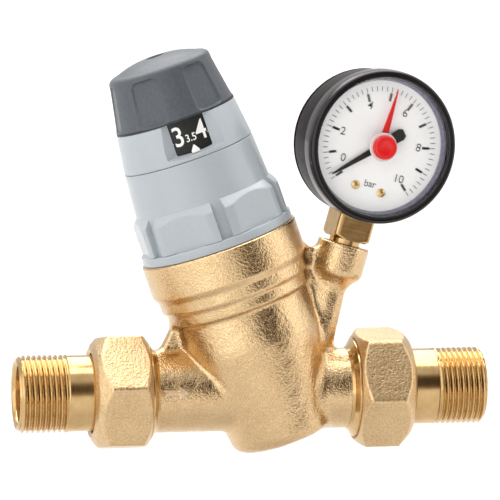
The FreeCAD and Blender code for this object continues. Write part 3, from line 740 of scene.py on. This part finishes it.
def scale_figures(name):
    """Pressure figures round the black ring: large whole bars, small half bars."""
    def lay(flat, z, angle):
        return wrapped(flat * [1, 1.15, 1], SCALE_R + 0.14, z, angle)

    figures = []
    for turn in (0, math.pi):
        for halves in range(2, 13):
            bar = halves / 2
            height, z = (2.2, 92.0) if halves % 2 else (5.7, 93.2)
            angle = FRONT + math.radians((bar - REST_BAR) * BAR_ANGLE) + turn
            figures.append((f"{bar:g}", height, (z, angle)))
    return printed(name, figures, 0.012, lay, CARTRIDGE)


def window_mark(name):
    """Small pointed mark on the lower edge of each window."""
    flat = np.array([
        (-1.35, -0.5), (1.35, -0.5), (1.35, 0.3), (0.15, 2.1), (-0.15, 2.1), (-1.35, 0.3)])
    parts = []
    for turn in (0, math.pi):
        rows = [wrapped(flat, SCALE_R + out, WINDOW_BOTTOM, FRONT + turn) for out in (0.35, 1.75)]
        points = np.concatenate(rows)
        parts.append(mesh_object("mark", points, prism_faces(len(flat)), CARTRIDGE))
    return bevelled(joined(name, parts), 0.12)


# ---------------- gauge
def scale_angle(bar):
    """Direction of a pressure on the dial, anticlockwise from the dial's +x."""
    return math.pi / 2 + SCALE_TURN + math.radians(135) - BAR_TURN * bar


def gauge_can(name):
    """Case of the gauge, with a shallow groove near its back."""
    profile = rounded([
        (0, CASE_BACK), (CASE_R, CASE_BACK, 2.6), (CASE_R, -9.2, 0.3), (CASE_R - 0.35, -8.8, 0.3),
        (CASE_R - 0.35, -8.2, 0.3), (CASE_R, -7.8, 0.3), (CASE_R, 9.6, 0.3), (CASE_R - 0.9, 9.6, 0.3),
        (CASE_R - 0.9, CASE_BACK + 1, 2.2), (0, CASE_BACK + 1)])
    return lathe(name, profile, DIAL, 160)


def gauge_ring(name):
    """Bezel over the case's front edge, with a fine groove in its face."""
    profile = rounded([
        (CASE_R + 0.03, BEZEL_BACK), (BEZEL_R, BEZEL_BACK, 0.5), (BEZEL_R, 8.6, 1.0),
        (BEZEL_R - 0.25, BEZEL_FRONT, 1.2), (24.85, BEZEL_FRONT, 0.2),
        (24.75, BEZEL_FRONT - 0.4, 0.15), (24.35, BEZEL_FRONT - 0.4, 0.15),
        (24.25, BEZEL_FRONT, 0.2), (BEZEL_OPENING_R + 0.3, BEZEL_FRONT, 0.4),
        (BEZEL_OPENING_R, BEZEL_FRONT - 1.4), (CASE_R + 0.03, BEZEL_FRONT - 1.4)])
    return lathe(name, profile, DIAL, 160)


def clear_lens(name):
    """Dished window with a hole for the set pointer's button."""
    back, hole = DIAL_FACE + 2.2, 1.56
    profile = rounded([
        (hole, back), (DIAL_R - 0.1, back, 0.2), (CASE_R - 1.1, BEZEL_FRONT - 2.2),
        (CASE_R - 1.1, BEZEL_FRONT - 1.45), (BEZEL_OPENING_R - 0.12, BEZEL_FRONT - 1.45, 0.1),
        (DIAL_R - 0.9, back + 1.2, 0.2), (hole, back + 1.2, 0.1)])
    return lathe(name, profile, DIAL, 144)


def lens_rim(name):
    """Ring between bezel and dial whose grey-violet colour is a painted reflection of the lens's
    bevelled edge.
    """
    profile = rounded([
        (DIAL_R - 0.35, DIAL_FACE + 0.02), (BEZEL_OPENING_R + 0.3, DIAL_FACE + 0.02),
        (BEZEL_OPENING_R + 0.3, DIAL_FACE + 1.9), (DIAL_R + 0.35, DIAL_FACE + 1.9, 0.1)])
    return lathe(name, profile, DIAL, 144)


def dial_plate(name):
    hole, edge, back = 2.2, CASE_R - 1.15, DIAL_FACE - 0.6
    return lathe(name, [(hole, back), (edge, back), (edge, DIAL_FACE), (hole, DIAL_FACE)], DIAL, 120)


def ring_marks(name, per_bar, r0, r1, width, z):
    """Thin radial bars printed on the dial from 0 to 10 bar."""
    points, faces = [], []
    for k in range(10 * per_bar + 1):
        a = scale_angle(k / per_bar)
        c, s, w = math.cos(a), math.sin(a), width / 2
        for r, side in ((r0, -w), (r1, -w), (r1, w), (r0, w)):
            points.append((r * c - side * s, r * s + side * c, z))
        faces.append(range(len(points) - 4, len(points)))
    return mesh_object(name, points, faces, DIAL, merge=False)


def dial_figures(name):
    """Every second bar inside the scale, the 0 a little past its mark, and the unit."""
    def lay(flat, x, y):
        level = np.full(len(flat), DIAL_FACE + 0.03)
        return np.c_[flat[:, 0] + x, flat[:, 1] + y, level]

    figures = []
    for bar in range(0, 11, 2):
        a = scale_angle(bar or 0.6) - SCALE_TURN
        r = 13.5 if bar in (0, 10) else 14.2
        figures.append((str(bar), 2.7, (r * math.cos(a), r * math.sin(a))))
    figures.append(("bar", 2.3, (-0.2, -13.2)))
    return printed(name, figures, 0.008, lay, DIAL @ Matrix.Rotation(SCALE_TURN, 4, "Z"))


def needle(name, outline, z, turn, hub_r):
    """A pointer cut from sheet, with a turned hub, along +y before it is turned."""
    matrix = DIAL @ Matrix.Rotation(turn, 4, "Z")
    blade = prism("blade", outline, z, z + 0.3, matrix)
    hub = rounded([(0.52, z - 0.1), (hub_r, z - 0.1), (hub_r, z + 0.5, 0.2), (0.52, z + 0.5)])
    return joined(name, [blade, lathe("hub", hub, matrix, 48)])


def black_needle(name):
    outline = [
        (0.2, 19.4), (-0.2, 19.4), (-0.62, 15), (-1.15, 2.2), (-0.8, -3.0), (-0.8, -4.4),
        (-2.0, -5.6, 0.2), (-2.1, -8.4, 0.3), (-1.3, -9.7, 0.3), (1.3, -9.7, 0.3), (2.1, -8.4, 0.3),
        (2.0, -5.6, 0.2), (0.8, -4.4), (0.8, -3.0), (1.15, 2.2), (0.62, 15)]
    turn = SCALE_TURN + (5 - REST_PRESSURE) * BAR_TURN
    return needle(name, rounded(outline), DIAL_FACE + 0.9, turn, 2.0)


def red_needle(name):
    outline = [(0.16, 19.7), (-0.16, 19.7), (-1.2, 5.0), (-1.3, -3.0), (1.3, -3.0), (1.2, 5.0)]
    turn = SCALE_TURN + (5 - SET_PRESSURE) * BAR_TURN
    return needle(name, outline, DIAL_FACE + 1.6, turn, 1.7)


def set_button(name):
    """Red button with a fine knurl, outside the lens."""
    base = LENS_FRONT + 0.75

    def shape(angle, r, z):
        edge = (r > 3.3) & (z > base + 0.05) & (z < base + 2.45)
        return np.where(edge, r - 0.06 + 0.06 * np.cos(30 * angle), r)

    profile = rounded([
        (0, base - 2.15), (1.5, base - 2.15), (1.5, base), (BUTTON_R, base, 0.3),
        (BUTTON_R, base + 0.55), (BUTTON_R, base + 1.75), (BUTTON_R, base + 2.65, 0.75),
        (1.8, base + 2.65), (1.4, base + 2.5), (0, base + 2.5)])
    return lathe(name, profile, DIAL, 180, shape, 40)


def button_collar(name):
    """Frosted disc between the lens and the button."""
    bore, edge, back, front = 1.52, 4.9, LENS_FRONT + 0.02, LENS_FRONT + 0.72
    profile = rounded([(bore, back), (edge, back, 0.25), (edge, front, 0.25), (bore, front)])
    return lathe(name, profile, DIAL, 96)


def slotted_screws(name):
    """The dial's two screws: shank, raised head and slot."""
    profile = rounded([
        (0, -1.5), (0.8, -1.5), (0.8, 0.01), (1.5, 0.01), (1.5, 0.35, 0.1), (0.7, 0.72, 0.3),
        (0, 0.78)])
    outline = [(-3, -0.17), (3, -0.17), (3, 0.17), (-3, 0.17)]
    heads = []
    for x, y, turn in ((-4.5, -14.7, 0.5), (5.2, -15.1, 1.6)):
        at = DIAL @ Matrix.Translation((x, y, DIAL_FACE)) @ Matrix.Rotation(turn, 4, "Z")
        slot = prism("slot", outline, 0.42, 2.0, at)
        heads.append(cut(lathe("head", profile, at, 48), slot))
    return joined(name, heads)


def gauge_stem(name):
    """Brass connection under the gauge: relief, chamfered wrench square and neck."""
    def shape(angle, r, z):
        turn = (angle + math.pi / 4) % (math.pi / 2) - math.pi / 4
        flat = 6.5 / np.cos(turn)
        corner = np.full_like(z, 8.7)
        lead = 7.2 + (z - 1.6) * 1.5
        return np.where(r == 0, soft_min(flat, corner, lead, k=0.07), r)

    rows = list(rounded([
        (1.2, -9.3), (6.4, -9.3, 0.5), (6.4, -1.5, 0.3), (5.3, -1.0), (5.3, 1.55)]))
    rows += [(0.0, z) for z in np.concatenate([
        np.arange(1.6, 3.2, 0.16), np.arange(3.4, 11.2, 0.8)])]
    rows += [(4.2, 11.1), (4.2, 16.5), (1.2, 16.5)]
    base = np.concatenate([np.linspace(-41, 41, 19), [43, 44.3, 45, 45.7, 47]])
    phi = repeated(np.radians(base), 0, 4)
    return lathe(name, rows, STEM, phi, shape, 35)


# ---------------- materials
class Nodes:
    """Makes the nodes of one tree and links them."""

    def __init__(self, tree):
        self.tree = tree

    def node(self, kind, **settings):
        made = self.tree.nodes.new(kind)
        for key, value in settings.items():
            setattr(made, key, value)
        return made

    def link(self, source, socket):
        """Gives an input socket a link, or a plain number."""
        if isinstance(source, (int, float)):
            socket.default_value = source
        else:
            self.tree.links.new(source, socket)


class Finish(Nodes):
    """A material built from nodes in the object's own coordinates."""

    def __init__(self, name, **values):
        self.material = bpy.data.materials.new(name)
        self.material.use_nodes = True
        super().__init__(self.material.node_tree)
        self.shader = self.tree.nodes["Principled BSDF"]
        for key, value in values.items():
            self.shader.inputs[key.replace("_", " ")].default_value = value
        self.place = self.node("ShaderNodeTexCoord").outputs["Object"]

    def stretched(self, scale, matrix=None):
        """Coordinates in a local frame, scaled along its axes."""
        mapping = self.node("ShaderNodeMapping")
        turn = (matrix or Matrix.Identity(4)).to_3x3().inverted().to_euler()
        mapping.inputs["Rotation"].default_value = turn
        self.link(self.place, mapping.inputs["Vector"])
        sized = self.node("ShaderNodeVectorMath", operation="MULTIPLY")
        self.link(mapping.outputs["Vector"], sized.inputs[0])
        sized.inputs[1].default_value = scale
        return sized.outputs["Vector"]

    def noise(self, scale, detail=3.0, rough=0.55, place=None):
        made = self.node("ShaderNodeTexNoise")
        made.inputs["Scale"].default_value = scale
        made.inputs["Detail"].default_value = detail
        made.inputs["Roughness"].default_value = rough
        self.link(place or self.place, made.inputs["Vector"])
        return made.outputs["Fac"]

    def between(self, source, low, high):
        """A noise's usual span, 0.3 to 0.7, spread from low to high."""
        made = self.node("ShaderNodeMapRange")
        for key, value in (("From Min", 0.3), ("From Max", 0.7), ("To Min", low), ("To Max", high)):
            made.inputs[key].default_value = value
        self.link(source, made.inputs["Value"])
        return made.outputs["Result"]

    def ramp(self, source, *stops):
        made = self.node("ShaderNodeValToRGB")
        elements = made.color_ramp.elements
        while len(elements) < len(stops):
            elements.new(0.5)
        for element, (at, colour) in zip(elements, stops):
            element.position = at
            element.color = (*colour, 1)
        self.link(source, made.inputs["Fac"])
        return made.outputs["Color"]

    def mean(self, a, b):
        """The mean of two colours."""
        made = self.node("ShaderNodeMix", data_type="RGBA")
        made.inputs["Factor"].default_value = 0.5
        self.link(a, made.inputs[6])
        self.link(b, made.inputs[7])
        return made.outputs[2]

    def colour(self, source):
        self.link(source, self.shader.inputs["Base Color"])

    def roughness(self, source):
        self.link(source, self.shader.inputs["Roughness"])

    def bump(self, source, depth_mm):
        """Adds a bump to those already there."""
        made = self.node("ShaderNodeBump")
        made.inputs["Distance"].default_value = depth_mm * MM
        self.link(source, made.inputs["Height"])
        old = self.shader.inputs["Normal"].links
        if old:
            self.link(old[0].from_socket, made.inputs["Normal"])
        self.link(made.outputs["Normal"], self.shader.inputs["Normal"])


def cast_brass(name, grain=1.0, rough=(0.17, 0.27), lift=0.0):
    """Sand-cast brass with a fine bright and dark grain; grain is its size, lift pales it."""
    f = Finish(name, Metallic=1.0)
    tone = f.ramp(f.noise(2100 / grain, 3), (0.30, (0.42, 0.270, 0.130)),
                  (0.50, (0.63, 0.44, 0.245)), (0.72, (0.83, 0.65, 0.42)))
    low, high = np.array([(0.58, 0.405, 0.21), (0.66, 0.475, 0.26)]) + lift
    patches = f.ramp(f.noise(120, 3), (0.35, low), (0.65, high))
    f.colour(f.mean(tone, patches))
    f.roughness(f.between(f.noise(700, 3), *rough))
    f.bump(f.noise(1900 / grain, 2), 0.12 * grain)
    f.bump(f.noise(1150 / grain, 2), 0.15 * grain)
    f.bump(f.noise(170, 2), 0.12)
    return f.material


def turned_brass(name, matrix):
    """Machined brass with fine turning lines round a frame's z axis."""
    f = Finish(name, Metallic=1.0)
    lines = f.noise(1.0, 2, place=f.stretched((60, 60, 5200), matrix))
    f.colour(f.ramp(f.noise(260, 4), (0.3, (0.51, 0.33, 0.145)), (0.55, (0.57, 0.385, 0.18)),
                    (0.8, (0.64, 0.455, 0.235))))
    f.roughness(f.between(lines, 0.13, 0.22))
    f.bump(lines, 0.012)
    f.bump(f.noise(90, 2), 0.02)
    return f.material


def mottled(name, dark, light, rough, grains, depth, stops=(0.3, 0.7), **values):
    """A surface whose shade, gloss and height vary, each by a noise of (scale, detail)."""
    f = Finish(name, **values)
    shade, gloss, height = (f.noise(*grain) for grain in grains)
    f.colour(f.ramp(shade, *zip(stops, (dark, light))))
    f.roughness(f.between(gloss, *rough))
    f.bump(height, depth)
    return f.material


def plastic(name, dark, light, rough, texture=0.02, gloss=0.5):
    """Moulded plastic with a faint grain."""
    return mottled(name, dark, light, rough, ((900, 5), (1500, 4), (2600, 2)), texture,
                   IOR=1.5, Specular_IOR_Level=gloss)


def paint(name, dark, light, rough=(0.3, 0.45)):
    """Printed flat colour."""
    return mottled(name, dark, light, rough, ((700, 3), (400, 3), (1500, 2)), 0.006,
                   stops=(0.35, 0.65), IOR=1.45)


def soft_rubber(name, dark, light):
    """Rubber or fibre: dull, with a fine grain."""
    return mottled(name, dark, light, (0.55, 0.8), ((400, 4), (900, 3), (2200, 2)), 0.02, IOR=1.5)


def enamel(name, colour, rough, gloss):
    """Black baked enamel with a faint orange peel and fine scuffs."""
    f = Finish(name, IOR=1.5, Specular_IOR_Level=gloss)
    scuffs = f.noise(1.0, 5, 0.7, place=f.stretched((900, 240, 900)))
    pale = tuple(c * 1.6 for c in colour)
    f.colour(f.ramp(scuffs, (0.3, colour), (0.75, pale)))
    f.roughness(f.between(f.noise(500, 4), *rough))
    f.bump(f.noise(800, 2), 0.02)
    return f.material


def metal(name, dark, light, rough, matrix=None):
    """Plain metal of an inner part, with fine drawn or turned lines."""
    f = Finish(name, Metallic=1.0)
    lines = f.noise(1.0, 2, place=f.stretched((300, 300, 3000), matrix))
    f.colour(f.ramp(f.noise(300, 4), (0.3, dark), (0.7, light)))
    f.roughness(f.between(lines, *rough))
    f.bump(lines, 0.01)
    return f.material


def glass(name):
    """Thin clear acrylic with faint smears in its gloss."""
    f = Finish(name, IOR=1.49, Alpha=0.12, Transmission_Weight=1.0)
    f.colour(f.ramp(f.noise(30, 2), (0.3, (0.90, 0.91, 0.92)), (0.7, (0.96, 0.96, 0.97))))
    f.roughness(f.between(f.noise(120, 4), 0.02, 0.08))
    f.bump(f.noise(25, 1), 0.02)
    return f.material


CAST = cast_brass("cast_brass")
FORGED = cast_brass("forged_brass", 1.15, (0.27, 0.37))
# Paler brass for the flow arrow: its lift is a painted highlight for the light that the arrow's
# raised edges catch.
ARROW_HIGHLIGHT_BRASS = cast_brass("arrow_painted_highlight_brass", 0.8, (0.34, 0.44), 0.32)
TURNED_PIPE = turned_brass("turned_brass_pipe", PIPE["inlet"])
TURNED_STEM = turned_brass("turned_brass_stem", STEM)
PALE_GREY = plastic(
    "pale_grey_plastic", (0.350, 0.385, 0.412), (0.365, 0.400, 0.427), (0.24, 0.27), 0.002)
DARK_GREY = plastic(
    "dark_grey_plastic", (0.062, 0.071, 0.082), (0.080, 0.090, 0.101), (0.36, 0.46), 0.04, 0.36)
BLACK_SCALE = paint("black_scale", (0.004, 0.004, 0.004), (0.008, 0.008, 0.008), (0.4, 0.55))
WHITE_PRINT = paint("white_print", (0.82, 0.82, 0.80), (0.9, 0.9, 0.88))
BLACK_PRINT = paint("black_print", (0.006, 0.006, 0.007), (0.012, 0.012, 0.013))
GREY_PRINT = paint("grey_print", (0.06, 0.06, 0.065), (0.09, 0.09, 0.095))
WHITE_METAL = paint("dial_white", (0.94, 0.945, 0.945), (0.97, 0.975, 0.975))
BLACK_METAL = enamel("black_enamel", (0.008, 0.005, 0.006), (0.26, 0.36), 0.05)
GLOSS_BLACK = enamel("gloss_black", (0.008, 0.006, 0.007), (0.10, 0.18), 0.35)
POINTER_BLACK = paint("pointer_black", (0.006, 0.006, 0.006), (0.014, 0.013, 0.013))
POINTER_RED = plastic("pointer_red", (0.60, 0.004, 0.006), (0.68, 0.008, 0.010), (0.25, 0.38), 0.01)
LENS = glass("clear_acrylic")
# Grey-violet colour of the ring between bezel and dial: a painted reflection of the lens's bevelled
# edge.
LENS_REFLECTION_GREY = plastic("painted_lens_reflection_grey", (0.12, 0.12, 0.16), (0.20, 0.20, 0.26), (0.15, 0.3), 0.01)
FROSTED = plastic("frosted_collar", (0.62, 0.55, 0.54), (0.75, 0.68, 0.66), (0.2, 0.35), 0.01)
SCREW_BRASS = metal("screw_brass", (0.62, 0.42, 0.18), (0.80, 0.58, 0.30), (0.2, 0.35), DIAL)
STEEL = metal("stainless_steel", (0.50, 0.50, 0.50), (0.64, 0.64, 0.63), (0.22, 0.36), CARTRIDGE)
SPRING_STEEL = metal("spring_steel", (0.20, 0.20, 0.21), (0.32, 0.32, 0.33), (0.3, 0.45), CARTRIDGE)
TURNED_CARTRIDGE = turned_brass("turned_brass_cartridge", CARTRIDGE)
RUBBER = soft_rubber("black_rubber", (0.012, 0.012, 0.012), (0.024, 0.024, 0.024))
FIBRE = soft_rubber("fibre_gasket", (0.10, 0.022, 0.014), (0.17, 0.045, 0.028))
WHITE_POLYMER = plastic("white_polymer", (0.70, 0.70, 0.67), (0.78, 0.78, 0.75), (0.3, 0.45))


# ---------------- pieces
casting = contoured("body_casting", cast_field, (42, -28, -22), (122, 28, 61), 0.65)
finish_piece(casting, "valve", "cast_brass", CAST, "valve_body")
# The flow arrow's paler brass is a painted highlight.
finish_piece(arrow_relief("flow_arrow"), "valve", "cast_brass", ARROW_HIGHLIGHT_BRASS)
for end, crest in (("inlet", PIPE_THREAD_R), ("outlet", PIPE_THREAD_R - 0.16)):
    finish_piece(port_end(end + "_port_end", end), "valve", "machined_brass", TURNED_PIPE)
    finish_piece(threaded_tail(end + "_tail_turned", end, crest), end + "_tail", "machined_brass",
                 TURNED_PIPE, end + "_tail")
    finish_piece(union_nut(end + "_nut_forged", end), end + "_nut", "cast_brass", FORGED,
                 end + "_union_nut")

finish_piece(bell("bell_shell"), "valve", "light_grey_plastic", PALE_GREY, "bell_cover")
finish_piece(window_collar("window_collar"), "valve", "light_grey_plastic", PALE_GREY,
             "indicator_collar")
finish_piece(window_mark("window_marks"), "valve", "light_grey_plastic", WHITE_PRINT)
finish_piece(knob("knob_shell"), "knob", "dark_grey_plastic", DARK_GREY, "control_knob")
finish_piece(scale_drum("scale_drum"), "knob", "black_scale", BLACK_SCALE, "scale_ring")
finish_piece(scale_figures("scale_figures"), "knob", "white_metal", WHITE_PRINT)

finish_piece(gauge_can("gauge_can"), "valve", "black_metal", BLACK_METAL, "gauge_case")
finish_piece(gauge_ring("gauge_ring"), "valve", "black_metal", GLOSS_BLACK, "gauge_bezel")
# Ring between bezel and dial, coloured as a painted reflection of the lens's bevelled edge.
finish_piece(lens_rim("lens_edge_reflection"), "valve", "black_metal", LENS_REFLECTION_GREY)
finish_piece(clear_lens("gauge_lens"), "valve", "window_clear", LENS, "gauge_window")
finish_piece(dial_plate("dial_plate"), "valve", "white_metal", WHITE_METAL, "gauge_dial")
bar_marks = ring_marks("dial_bar_marks", 1, 15.5, 18.3, 0.85, DIAL_FACE + 0.03)
finish_piece(bar_marks, "valve", "black_metal", BLACK_PRINT)
fine_marks = ring_marks("dial_fine_marks", 5, 18.6, 20.3, 0.26, DIAL_FACE + 0.025)
finish_piece(fine_marks, "valve", "black_metal", GREY_PRINT)
finish_piece(dial_figures("dial_figures"), "valve", "black_metal", BLACK_PRINT)
finish_piece(slotted_screws("dial_slotted_screws"), "valve", "machined_brass", SCREW_BRASS,
             "dial_screws")
finish_piece(black_needle("black_needle"), "pointer", "pointer_black", POINTER_BLACK,
             "black_pointer")
finish_piece(red_needle("red_needle"), "set_pointer", "pointer_red", POINTER_RED, "set_pointer")
finish_piece(set_button("set_button"), "set_pointer", "pointer_red", POINTER_RED,
             "set_pointer_knob")
finish_piece(button_collar("button_collar"), "set_pointer", "window_clear", FROSTED)
finish_piece(gauge_stem("gauge_stem"), "valve", "machined_brass", TURNED_STEM, "gauge_socket")

# Inner parts, which keep the shape that they have in the frame.
INNER = (
    (TURNED_CARTRIDGE, ("cartridge_housing", "adjusting_spindle")),
    (RUBBER, ("housing_o_ring", "spigot_o_ring", "diaphragm", "piston_seal", "obturator_seal")),
    (STEEL, ("seat_ring", "strainer", "hairspring", "valve_stem", "obturator", "stem_nut",
             "diaphragm_lower_plate", "diaphragm_upper_plate", "lock_screw", "pointer_arbor")),
    (SPRING_STEEL, ("pressure_spring",)),
    (WHITE_POLYMER, ("slip_ring", "piston_sleeve", "spring_nut")),
    (FIBRE, ("gauge_seal", "inlet_gasket", "outlet_gasket")),
    (SCREW_BRASS, ("movement_plates", "bourdon_tube", "toothed_sector")),
)
for material, nodes in INNER:
    for node in nodes:
        frame["nodes"][node].data.materials.clear()
        frame["nodes"][node].data.materials.append(material)


# ---------------- studio
def floor_disc():
    """Pale studio floor, 45 mm below the object, with its front edge close before it."""
    radius, low, front = 12.0, cad_box[0].z - 0.045, -0.22
    ring = [(radius * math.cos(a), radius * (1 + math.sin(a)) + front, low)
            for a in np.linspace(0, 2 * math.pi, 96, endpoint=False)]
    mesh = bpy.data.meshes.new("studio_floor")
    mesh.from_pydata(ring, [], [range(len(ring))])
    obj = linked("studio_floor", mesh)
    f = Finish("studio_white")
    f.colour(f.ramp(f.noise(8, 2), (0.3, (0.53, 0.53, 0.53)), (0.7, (0.545, 0.545, 0.545))))
    f.roughness(f.between(f.noise(30, 2), 0.75, 0.9))
    obj.data.materials.append(f.material)


def direction(azimuth, elevation):
    """Unit vector from the object, by angles in degrees; azimuth 0 is to the front."""
    a, e = math.radians(azimuth), math.radians(elevation)
    return Vector((math.sin(a) * math.cos(e), -math.cos(a) * math.cos(e), math.sin(e)))


class Sky(Nodes):
    """Light that comes from all round, as nodes of its direction."""

    def __init__(self, tree):
        super().__init__(tree)
        self.place = self.node("ShaderNodeTexCoord").outputs["Generated"]

    def calc(self, operation, a, b):
        made = self.node("ShaderNodeMath", operation=operation)
        self.link(a, made.inputs[0])
        self.link(b, made.inputs[1])
        return made.outputs[0]

    def lobe(self, azimuth, elevation, outer, inner, level):
        """A soft patch of light: outer and inner are its half angles."""
        toward = self.node("ShaderNodeVectorMath", operation="DOT_PRODUCT")
        self.link(self.place, toward.inputs[0])
        toward.inputs[1].default_value = direction(azimuth, elevation)
        made = self.node("ShaderNodeMapRange", interpolation_type="SMOOTHSTEP")
        self.link(toward.outputs["Value"], made.inputs["Value"])
        made.inputs["From Min"].default_value = math.cos(math.radians(outer))
        made.inputs["From Max"].default_value = math.cos(math.radians(inner))
        made.inputs["To Min"].default_value = 0
        made.inputs["To Max"].default_value = level
        return made.outputs["Result"]


def studio_world():
    """Light tent: bright above, softer all round, with a dim patch to the right of the front."""
    world = bpy.data.worlds.new("studio")
    bpy.context.scene.world = world
    world.use_nodes = True
    world.node_tree.nodes.clear()
    sky = Sky(world.node_tree)
    light = 0.85
    for patch in ((180, 72, 41, 36, 3.7), (-58, 12, 55, 28, 1.0), (80, 18, 32, 14, 1.0),
                  (0, -90, 91, 87, 0.4)):
        light = sky.calc("ADD", sky.lobe(*patch), light)
    dark = sky.calc("MAXIMUM", sky.lobe(25, 17, 29, 15, 1.0), sky.lobe(39, -2, 20, 9, 1.0))
    light = sky.calc("MULTIPLY", light, sky.calc("SUBTRACT", 1.0, sky.calc("MULTIPLY", dark, 0.93)))
    tint = sky.node("ShaderNodeMix", data_type="RGBA")
    sky.link(dark, tint.inputs["Factor"])
    tint.inputs[6].default_value = (1.0, 0.99, 0.975, 1)
    tint.inputs[7].default_value = (1.0, 0.74, 0.50, 1)
    background = sky.node("ShaderNodeBackground")
    sky.link(light, background.inputs["Strength"])
    sky.link(tint.outputs[2], background.inputs["Color"])
    output = sky.node("ShaderNodeOutputWorld")
    sky.link(background.outputs[0], output.inputs["Surface"])


def camera():
    """A long lens at the object's middle, a little from the left and above."""
    target = Vector((0.080, 0, 0.0475))
    distance, seen_width = 1.5, 0.169
    back = direction(-10.5, 5.0)
    data = bpy.data.cameras.new("camera")
    data.sensor_width = 36
    data.lens = data.sensor_width * distance / seen_width
    obj = linked("camera", data)
    obj.location = target + back * distance
    obj.rotation_mode = "QUATERNION"
    obj.rotation_quaternion = (-back).to_track_quat("-Z", "Y")
    data.clip_start, data.clip_end = 0.05, 60
    bpy.context.scene.camera = obj


floor_disc()
studio_world()
camera()
bpy.context.scene.view_settings.view_transform = "Standard"
